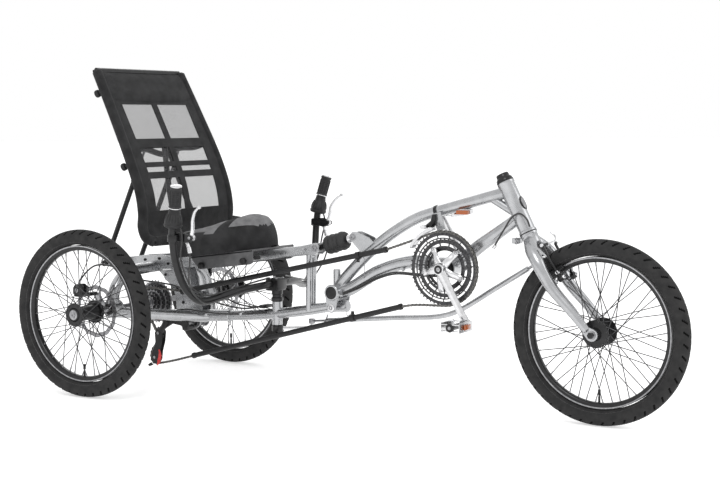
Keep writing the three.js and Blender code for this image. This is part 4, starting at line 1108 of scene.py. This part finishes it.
def add_bar(name, side):
    """A handlebar with its grip, twist shifter, brake lever and cables."""
    path = [Vector(p) for p in mirrored(BAR, side)]
    low, middle, top = path[-3:]
    bar = Piece(f"bar_{name}")
    bar.tube(path, 11.3, BLACK_METAL, 28, 6)
    add_lever_bracket(bar, side)
    bar.done("handlebar", "black_metal", [f"handlebar_{name}"])

    axis = (top - middle).normalized()
    length = (top - middle).length
    grip = Piece(f"grip_{name}_sleeve")
    profile = [(12, 3), (18.5, 3), (18.8, 4)]
    for k in range(9):
        base = 7 + k * 5.6
        profile.extend([(17.2, base), (17.2, base + 1.3), (15.6, base + 1.9), (15.6, base + 4.4)])
    profile.extend([(17.4, length + 2), (17.4, length + 5), (15, length + 7.5)])
    grip.lathe(middle, axis, profile, RUBBER, 40)
    u, v = across(axis)
    for c, s in unit_circle(10):
        foot = middle + (u * c + v * s) * 16.4
        grip.tube([foot + axis * 9, foot + axis * (length - 4)], 1.5, RUBBER, 8)
    end_cap = [(15.2, 6), (16.8, 6.4), (16.8, 8.4), (14, 9.6), (2, 10)]
    grip.lathe(middle, axis, [(r, length + h) for r, h in end_cap], ALLOY, 40)
    grip.lathe(middle, axis, [(12, 0.4), (18.6, 0.4), (18.6, 2.6), (12, 2.6)], ALLOY, 40)
    grip.done("handlebar", "grip_rubber", [f"grip_{name}"])

    twist = Piece(f"shifter_{name}_shell")
    start = low.lerp(middle, 0.06)
    turn_axis = (middle - low).normalized()
    span = (middle - start).length - 1
    bell = [(13.2, 0), (22, 0), (26, 3), (27, 9), (25.4, 11), (25.4, 14), (26.2, 16), (25, 24), (21.5, 34),
            (18.6, 40), (17.4, 42), (17.4, 46), (16.6, 48), (15.4, span), (13.2, span)]
    twist.lathe(start, turn_axis, bell, BLACK_PLASTIC, 44)
    u, v = across(turn_axis)
    for c, s in unit_circle(18):
        out = u * c + v * s
        rib = [start + out * r + turn_axis * h for r, h in ((25, 18), (22.6, 30), (18.4, 40))]
        twist.tube(rib, 1.6, RUBBER, 8, 4)
    twist.done(f"shifter_{name}", "black_plastic", [f"shifter_{name}"])
    add_lever(name, side)
    add_bar_cables(name, side)


def add_lever_bracket(piece, side):
    cheek = [(352, 486), (352, 507), (380, 508), (404, 504), (414, 499), (416, 490), (406, 484), (392, 480),
             (378, 483)]
    for y in (351.5, 370.5):
        piece.plate(cheek, *ordered(side, y - 1.8, y + 1.8), BLACK_METAL, 0.8)
    body = [(346, 486), (346, 506), (386, 507), (388, 495), (384, 484)]
    piece.plate(body, *ordered(side, 351, 372), BLACK_METAL, 3)
    collar = [(11.5, 0), (16.5, 0), (17, 1), (17, 19), (16.5, 20), (11.5, 20)]
    piece.lathe((350.5, side * 375, 482), (1, 0, 20), collar, BLACK_METAL, 36)
    piece.tube([(388, side * 361, 484), (396, side * 361, 464)], 5, ALLOY, 18)
    piece.tube([(395, side * 361, 468), (400, side * 361, 450)], 6.2, ALLOY, 18)
    piece.bolt((406, side * 372.4, 495), Y * side, 4.5, 2.4, STEEL)


def add_lever(name, side):
    piece = Piece(f"brake_lever_{name}")
    path = [(405, side * 361, 497), (412, side * 363, 516), (415, side * 366, 545), (430, side * 374, 570),
            (448, side * 380, 584)]
    piece.tube(path, [8, 7.2, 6.4, 6, 5.4], ALLOY, 20, 6, edge=2.5, flat=0.7)
    hub = [(4.6, 0), (9.2, 0), (9.2, 11.2), (4.6, 11.2)]
    piece.lathe((406, side * 355.4, 495), Y * side, hub, ALLOY, 28, loop=True)
    tip = [(3, -3), (6, -2), (6.6, 1), (5, 3.4), (0.1, 4)]
    piece.lathe((448, side * 380, 584), (16, side * 6, 14), tip, ALLOY, 20)
    piece.done(f"lever_{name}", "polished_alloy", [f"lever_{name}"])


def add_bar_cables(name, side):
    """Brake and gear housings that follow the bar down to the mast."""
    piece = Piece(f"bar_cables_{name}")
    brake = [(400, 361, 451), (402, 366, 420), (392, 358, 372), (382, 322, 326), (390, 276, 296),
             (404, 232, 302), (430, 150, 318), (452, 60, 336)]
    gear = [(372, 378, 536), (384, 376, 500), (374, 372, 440), (374, 350, 382), (372, 312, 340),
            (385, 262, 318), (404, 190, 326), (434, 90, 344), (452, 40, 352)]
    for run in (brake, gear):
        piece.tube(mirrored(run, side), 2.5, CABLE, 12, 6)
    piece.done("handlebar", "cable_housing")


def add_drag_link():
    piece = Piece("drag_link_rod")
    rear, elbow, front = LINK_REAR, LINK_ELBOW, LINK_FRONT
    thread = rear.lerp(elbow, 0.15)
    piece.tube([rear.lerp(elbow, 0.012), thread], 3.6, STEEL, 14)
    piece.tube([thread.lerp(rear, 0.2), rear.lerp(elbow, 0.6), elbow.lerp(rear, 0.06), elbow.lerp(front, 0.1),
                front.lerp(elbow, 0.5), front.lerp(elbow, 0.14)], 8, SILVER, 28, 8, edge=3)
    piece.tube([front.lerp(elbow, 0.16), front], 4.4, STEEL, 14)
    along = (elbow - rear).normalized()
    for share in (0.115, 0.13):
        piece.lathe(rear.lerp(elbow, share), along, [(4, 0), (7.2, 0.4), (7.2, 4.6), (4, 5)], STEEL, 6)
    joint = [(4, 0), (9.4, 0.6), (10.2, 2), (10.2, 14), (9.4, 15.4), (4, 16)]
    for spot in (rear, front):
        piece.lathe(spot - Z * 8, Z, joint, STEEL, 28)
    wing = rear.lerp(elbow, 0.1)
    for tilt in (-1, 1):
        bow = [wing, wing + Vector((3, tilt * 8, 10 * tilt)), wing + Vector((3, tilt * 9, 18 * tilt))]
        piece.tube(bow, 2.2, STEEL, 10)
    piece.done("drag_link", "drag_link_tube", ["drag_link"])


# ------------------------------------------------------------------ shock absorber
def add_shock():
    rear, front = Vector((605, 0, 446)), Vector((735, 0, 484))
    axis = (front - rear).normalized()
    length = (front - rear).length
    body = Piece("shock_boot")
    body.lathe((605, -10, 446), Y, [(6, 0), (12, 0.6), (12, 19.4), (6, 20)], BLACK_METAL, 28, loop=True)
    body.tube([rear + axis * 9, rear + axis * 34], [10, 15], BLACK_METAL, 28)
    profile = [(12, 28), (20, 29), (26, 33)]
    for base, size in ((36, 28.4), (52, 29.2), (66, 27.6), (83, 28.6)):
        profile.extend([(size - 1, base), (size, base + 4), (size - 0.6, base + 8), (size - 2.6, base + 12)])
    profile.extend([(26, 98), (22, 103), (12, 104)])
    body.lathe(rear, axis, profile, RUBBER, 48)
    body.done("shock_body", "shock_boot", ["shock_body"])
    shaft = Piece("shock_rod")
    shaft.tube([rear + axis * 46, rear + axis * (length - 9)], 6, STEEL, 20)
    collar = [(7, -28), (13, -26), (13, -16), (8, -12)]
    shaft.lathe(rear, axis, [(r, length + h) for r, h in collar], ALLOY, 28)
    shaft.lathe((735, -10, 484), Y, [(7, 0), (12, 0.6), (12, 19.4), (7, 20)], ALLOY, 28, loop=True)
    shaft.done("shock_shaft", "steel", ["shock_shaft"])


# ------------------------------------------------------------------ seat
BACK_LINE = [(150, 462), (118, 474), (104, 505), (106, 545), (96, 610), (63, 700), (-10, 850), (-79, 984)]


def back_x(z):
    return float(np.interp(z, BACK_Z, BACK_X))


back_curve = smooth_path([(x, 0, z) for x, z in BACK_LINE], 10)
BACK_X = [p.x for p in back_curve if p.z >= 470]
BACK_Z = [p.z for p in back_curve if p.z >= 470]


def half_width(z):
    return 231 - max(0.0, z - 700) * 0.05


def pan_z(x):
    """The underside of the seat pan's sheet, which lies on the rail."""
    return rail_z(x) + 15.3


def add_seat_pan():
    piece = Piece("seat_pan_sheet")
    top = [(208, 0), (438, 0), (438, 6), (208, 6)]
    knob = [(9, 0), (9, 3), (8, 4), (10, 5), (10, 11), (8, 13), (2, 14)]
    piece.plate([(x, pan_z(x) + h) for x, h in top], -110, 110, GREY_METAL, 1)
    for _, side in SIDES:
        skirt = [(204, 4), (440, 4), (438, -34), (428, -38), (246, -37), (234, -33)]
        piece.plate([(x, pan_z(x) + h) for x, h in skirt], side * 108 - 2, side * 108 + 2, GREY_METAL, 0.8)
        for x in (250, 408):
            piece.lathe((x, side * 110, pan_z(x) - 26), Y * side, knob, BLACK_PLASTIC, 24)
        piece.tube([(x, side * 100, pan_z(x) - 20) for x in (438, 458)], 6, BLACK_PLASTIC, 16)
    piece.done("rear_frame", "black_metal", ["seat_pan"])


CUSHION = [  # x, half width, height of the side seam, height of the middle
    (174, 160, 470, 478), (184, 182, 482, 490), (220, 189, 488, 498), (270, 190, 490, 512),
    (306, 189, 488, 526), (326, 170, 488, 533), (346, 145, 488, 539), (366, 118, 490, 542),
    (385, 92, 494, 542), (402, 68, 496, 538), (418, 50, 494, 528), (430, 38, 484, 512),
    (438, 28, 468, 488), (442, 14, 452, 464),
]


def cushion_size(x, column):
    return float(np.interp(x, [s[0] for s in CUSHION], [s[column] for s in CUSHION]))


def top_panel(x, y, z):
    """Whether a point of the cushion lies on one of its two grey mesh panels."""
    share = abs(y) / cushion_size(x, 1)
    if x > 350:
        return z > 511 and share < 0.9
    return 200 < x < 322 and z > cushion_size(x, 2) + 2 and 0.62 - (x - 200) / 400 < share < 0.86


def add_cushion():
    """Saddle-shaped pad: dark sides and nose, grey mesh panels on top, raised between the thighs."""
    around, along = 48, 56
    piece = Piece("cushion_pad")
    first, last = CUSHION[0][0], CUSHION[-1][0]
    rows = []
    for i in range(along + 1):
        t = i / along
        x = first + (last - first) * (1 - (1 - t) ** 1.3)
        width, seam, middle = (cushion_size(x, k) for k in (1, 2, 3))
        base = rail_z(x) + 22
        row = []
        for j in range(around):
            a = 2 * math.pi * j / around
            c, s = math.cos(a), math.sin(a)
            y = width * math.copysign(abs(c) ** 0.42, c)
            dish = max(0.0, 1 - (abs(y) / width) ** 2.4)
            rise = (middle - seam) * dish ** 1.2
            if s >= 0:
                z = base + (seam - base) * min(1.0, abs(s) ** 0.5 * 1.05) + s ** 0.8 * rise
            else:
                z = base + 7 * (1 - abs(s) ** 0.3)
            row.append(Vector((x, y, z)))
        rows.append(row)

    def cover(r, c):
        return GREY_FABRIC if top_panel(*((rows[r][c] + rows[r + 1][(c + 1) % around]) / 2)) else FABRIC

    piece.skin(rows, FABRIC, choose=cover)
    made = piece.done("rear_frame", "cushion_fabric", ["seat_cushion"])


def add_seat_back():
    add_back_frame()
    add_back_mesh()
    add_back_border()


def add_back_frame():
    piece = Piece("back_tubes")
    for _, side in SIDES:
        piece.tube([(x, side * (half_width(z) - 14), z) for x, z in BACK_LINE], 9.6, BLACK_METAL, 20, 6)
        for x, z in ((-68, 918), (41, 694)):
            y = half_width(z) - 10
            piece.lathe((x + 16, side * (y - 2), z), Vector((-0.75, side * 0.2, -0.3)),
                        [(6, 0), (6, 9), (11, 10), (12, 13), (12, 19), (10, 22), (2, 23)], BLACK_PLASTIC, 24)
        strut = [(28, side * 8, 744), (66, side * 34, 610), (104, side * 54, 500), (122, side * 60, 440)]
        piece.tube(strut, 9, BLACK_METAL, 20, 6)
        ear = [(106, 416), (130, 416), (134, 436), (160, 462), (142, 470), (104, 436)]
        piece.plate(ear, *ordered(side, 57, 63), BLACK_METAL, 1)
        piece.bolt((118, side * 63, 428), Y * side, 7, 4, STEEL)
    for x, z in (BACK_LINE[0], BACK_LINE[-1]):
        piece.tube([(x, -half_width(z) + 14, z), (x, half_width(z) - 14, z)], 9, BLACK_METAL, 20)
    bow = [(36, -216, 760), (20, -160, 742), (15, -86, 740), (18, 0, 722), (15, 86, 740), (20, 160, 742),
           (36, 216, 760)]
    piece.tube(bow, 9.5, BLACK_METAL, 24, 6)
    piece.tube([(118, -60, 428), (118, 60, 428)], 5, STEEL, 16)
    piece.done("seat_back", "black_metal", ["seat_back_frame"])


def back_surface(y, z, proud):
    """A point on the cover: it hangs slightly hollow between the side tubes."""
    sag = 10 * (1 - (y / half_width(z)) ** 2)
    return Vector((back_x(z) + proud - sag * 0.5, y, z + proud * 0.25))


def add_back_mesh():
    piece = Piece("back_open_mesh")
    heights = np.linspace(530, 960, 66)
    width = 205.0
    rows = [[back_surface(y, z, 8) for y in np.linspace(-width, width, 40)] for z in heights]
    piece.skin(rows, OPEN_MESH, closed=False, caps=False)
    made = piece.done("seat_back", "seat_mesh", solidify=1)


WINDOWS = [(770, 877), (698, 743), (668, 683), (550, 648)]
WINDOW_Y = (13.0, 160.0)


def add_back_border():
    """Fabric sleeve round the side tubes, the straps between the windows and the padded top."""
    piece = Piece("back_sleeve")
    bounds_y = [-205.0, -WINDOW_Y[1], -WINDOW_Y[0], WINDOW_Y[0], WINDOW_Y[1], 205.0]
    cuts = sorted({497.0, 962.0, *[z for pair in WINDOWS for z in pair]})
    for z0, z1 in zip(cuts, cuts[1:]):
        window = any(abs(z0 - a) < 1 and abs(z1 - b) < 1 for a, b in WINDOWS)
        steps = max(2, int((z1 - z0) / 12))
        for k, (y0, y1) in enumerate(zip(bounds_y, bounds_y[1:])):
            if window and k in (1, 3):
                continue
            slab(piece, y0, y1, z0, z1, steps)
    for _, side in SIDES:
        path = [(x + 4, side * (half_width(z) - 13), z) for x, z in BACK_LINE]
        piece.tube(path, 15.5, FABRIC, 24, 8, edge=6)
        inner = [(back_x(z) + 8, side * 192, z) for z in np.linspace(500, 960, 12)]
        piece.tube(inner, 5, FABRIC, 14, 4, flat=0.6)
    add_pillow(piece)
    add_bottom_curl(piece)
    made = piece.done("seat_back", "seat_mesh", ["seat_back_cover"])


def add_pillow(piece):
    """The padded top of the cover, from side to side."""
    rows = []
    for i in range(25):
        y = -217 + 434 * i / 24
        edge = 1 - (abs(y) / 217) ** 6
        row = []
        for k in range(20):
            a = 2 * math.pi * k / 20
            along, out = math.cos(a), math.sin(a)
            z = 936 + 50 * math.copysign(abs(along) ** 0.7, along)
            bulge = (8 + 12 * edge) * math.copysign(abs(out) ** 0.8, out)
            row.append(Vector((back_x(min(z, 984)) + 2 + bulge, y, z - 6 * edge * (along > 0))))
        rows.append(row)
    piece.skin(rows, FABRIC)


def add_bottom_curl(piece):
    """The cover's lower end, which curls forwards over the last cross tube."""
    piece.tube([(148, -214, 464), (152, 0, 462), (148, 214, 464)], 15, FABRIC, 24, 10, edge=5)
    curl = smooth_path([(x, 0, z) for x, z in BACK_LINE[:4]], 6)
    rows = []
    for here in curl:
        outer = [Vector((here.x + 13, y, here.z + 4)) for y in np.linspace(-205, 205, 12)]
        rows.append(outer + [p - Vector((4, 0, 1)) for p in reversed(outer)])
    piece.skin(rows, FABRIC)


def slab(piece, y0, y1, z0, z1, steps):
    """One strap of cover fabric between two heights, as a thin closed shell."""
    count = max(2, int((y1 - y0) / 20))
    ys = np.linspace(y0, y1, count + 1)
    rows = []
    for z in np.linspace(z0, z1, steps + 1):
        front = [back_surface(y, z, 12.5) for y in ys]
        rows.append(front + [back_surface(y, z, 9.5) for y in ys[::-1]])
    piece.skin(rows, FABRIC)


def add_stays():
    lower, upper = Piece("stay_tubes"), Piece("stay_rods")
    for _, side in SIDES:
        low, high = Vector((-158, side * 86, 373)), Vector((17, side * 86, 748))
        lower.tube([low, low.lerp(high, 0.72)], 8, BLACK_METAL, 20)
        lower.tube([low.lerp(high, 0.7), low.lerp(high, 0.735)], 10, BLACK_METAL, 20)
        lower.lathe(low - Y * 9, Y, [(5, 0), (10, 0.6), (10, 17.4), (5, 18)], BLACK_METAL, 24, loop=True)
        axis = (high - low).normalized()
        total = (high - low).length
        thread = [(4.2, total * 0.45)]
        for k in range(46):
            base = total * 0.74 + k * 2.2
            if base < total - 14:
                thread.extend([(3.7, base), (4.4, base + 1.1)])
        upper.lathe(low, axis, [*thread, (4.2, total - 12), (4.2, total)], STEEL, 14)
        nut = low.lerp(high, 0.75)
        lower.lathe(nut, axis, [(4.4, 0), (8, 0.6), (8, 8), (5.5, 10)], STEEL, 20)
        for out in (-1, 1):
            wing = [nut + axis * 4, nut + axis * 9 + Y * out * 12, nut + axis * 15 + Y * out * 19]
            lower.tube(wing, 2.4, STEEL, 12, 4)
    lower.tube([(-158, -92, 373), (-158, 92, 373)], 5.5, STEEL, 16)
    upper.tube([(17, -88, 748), (17, 88, 748)], 6, BLACK_METAL, 16)
    lower.done("stay_lower", "black_metal", ["seat_stay_lower"])
    upper.done("stay_upper", "steel", ["seat_stay_upper"])


add_camera()
add_studio()
add_wheels()
add_main_tube()
add_cross_tube()
add_gussets()
add_seat_rail()
add_clevis()
add_head()
add_booms()
add_front_derailleur()
add_fork()
add_front_brake()
add_crankset()
add_transmission()
add_rear_brakes()
add_bars()
add_drag_link()
add_shock()
add_seat_pan()
add_cushion()
add_seat_back()
add_stays()
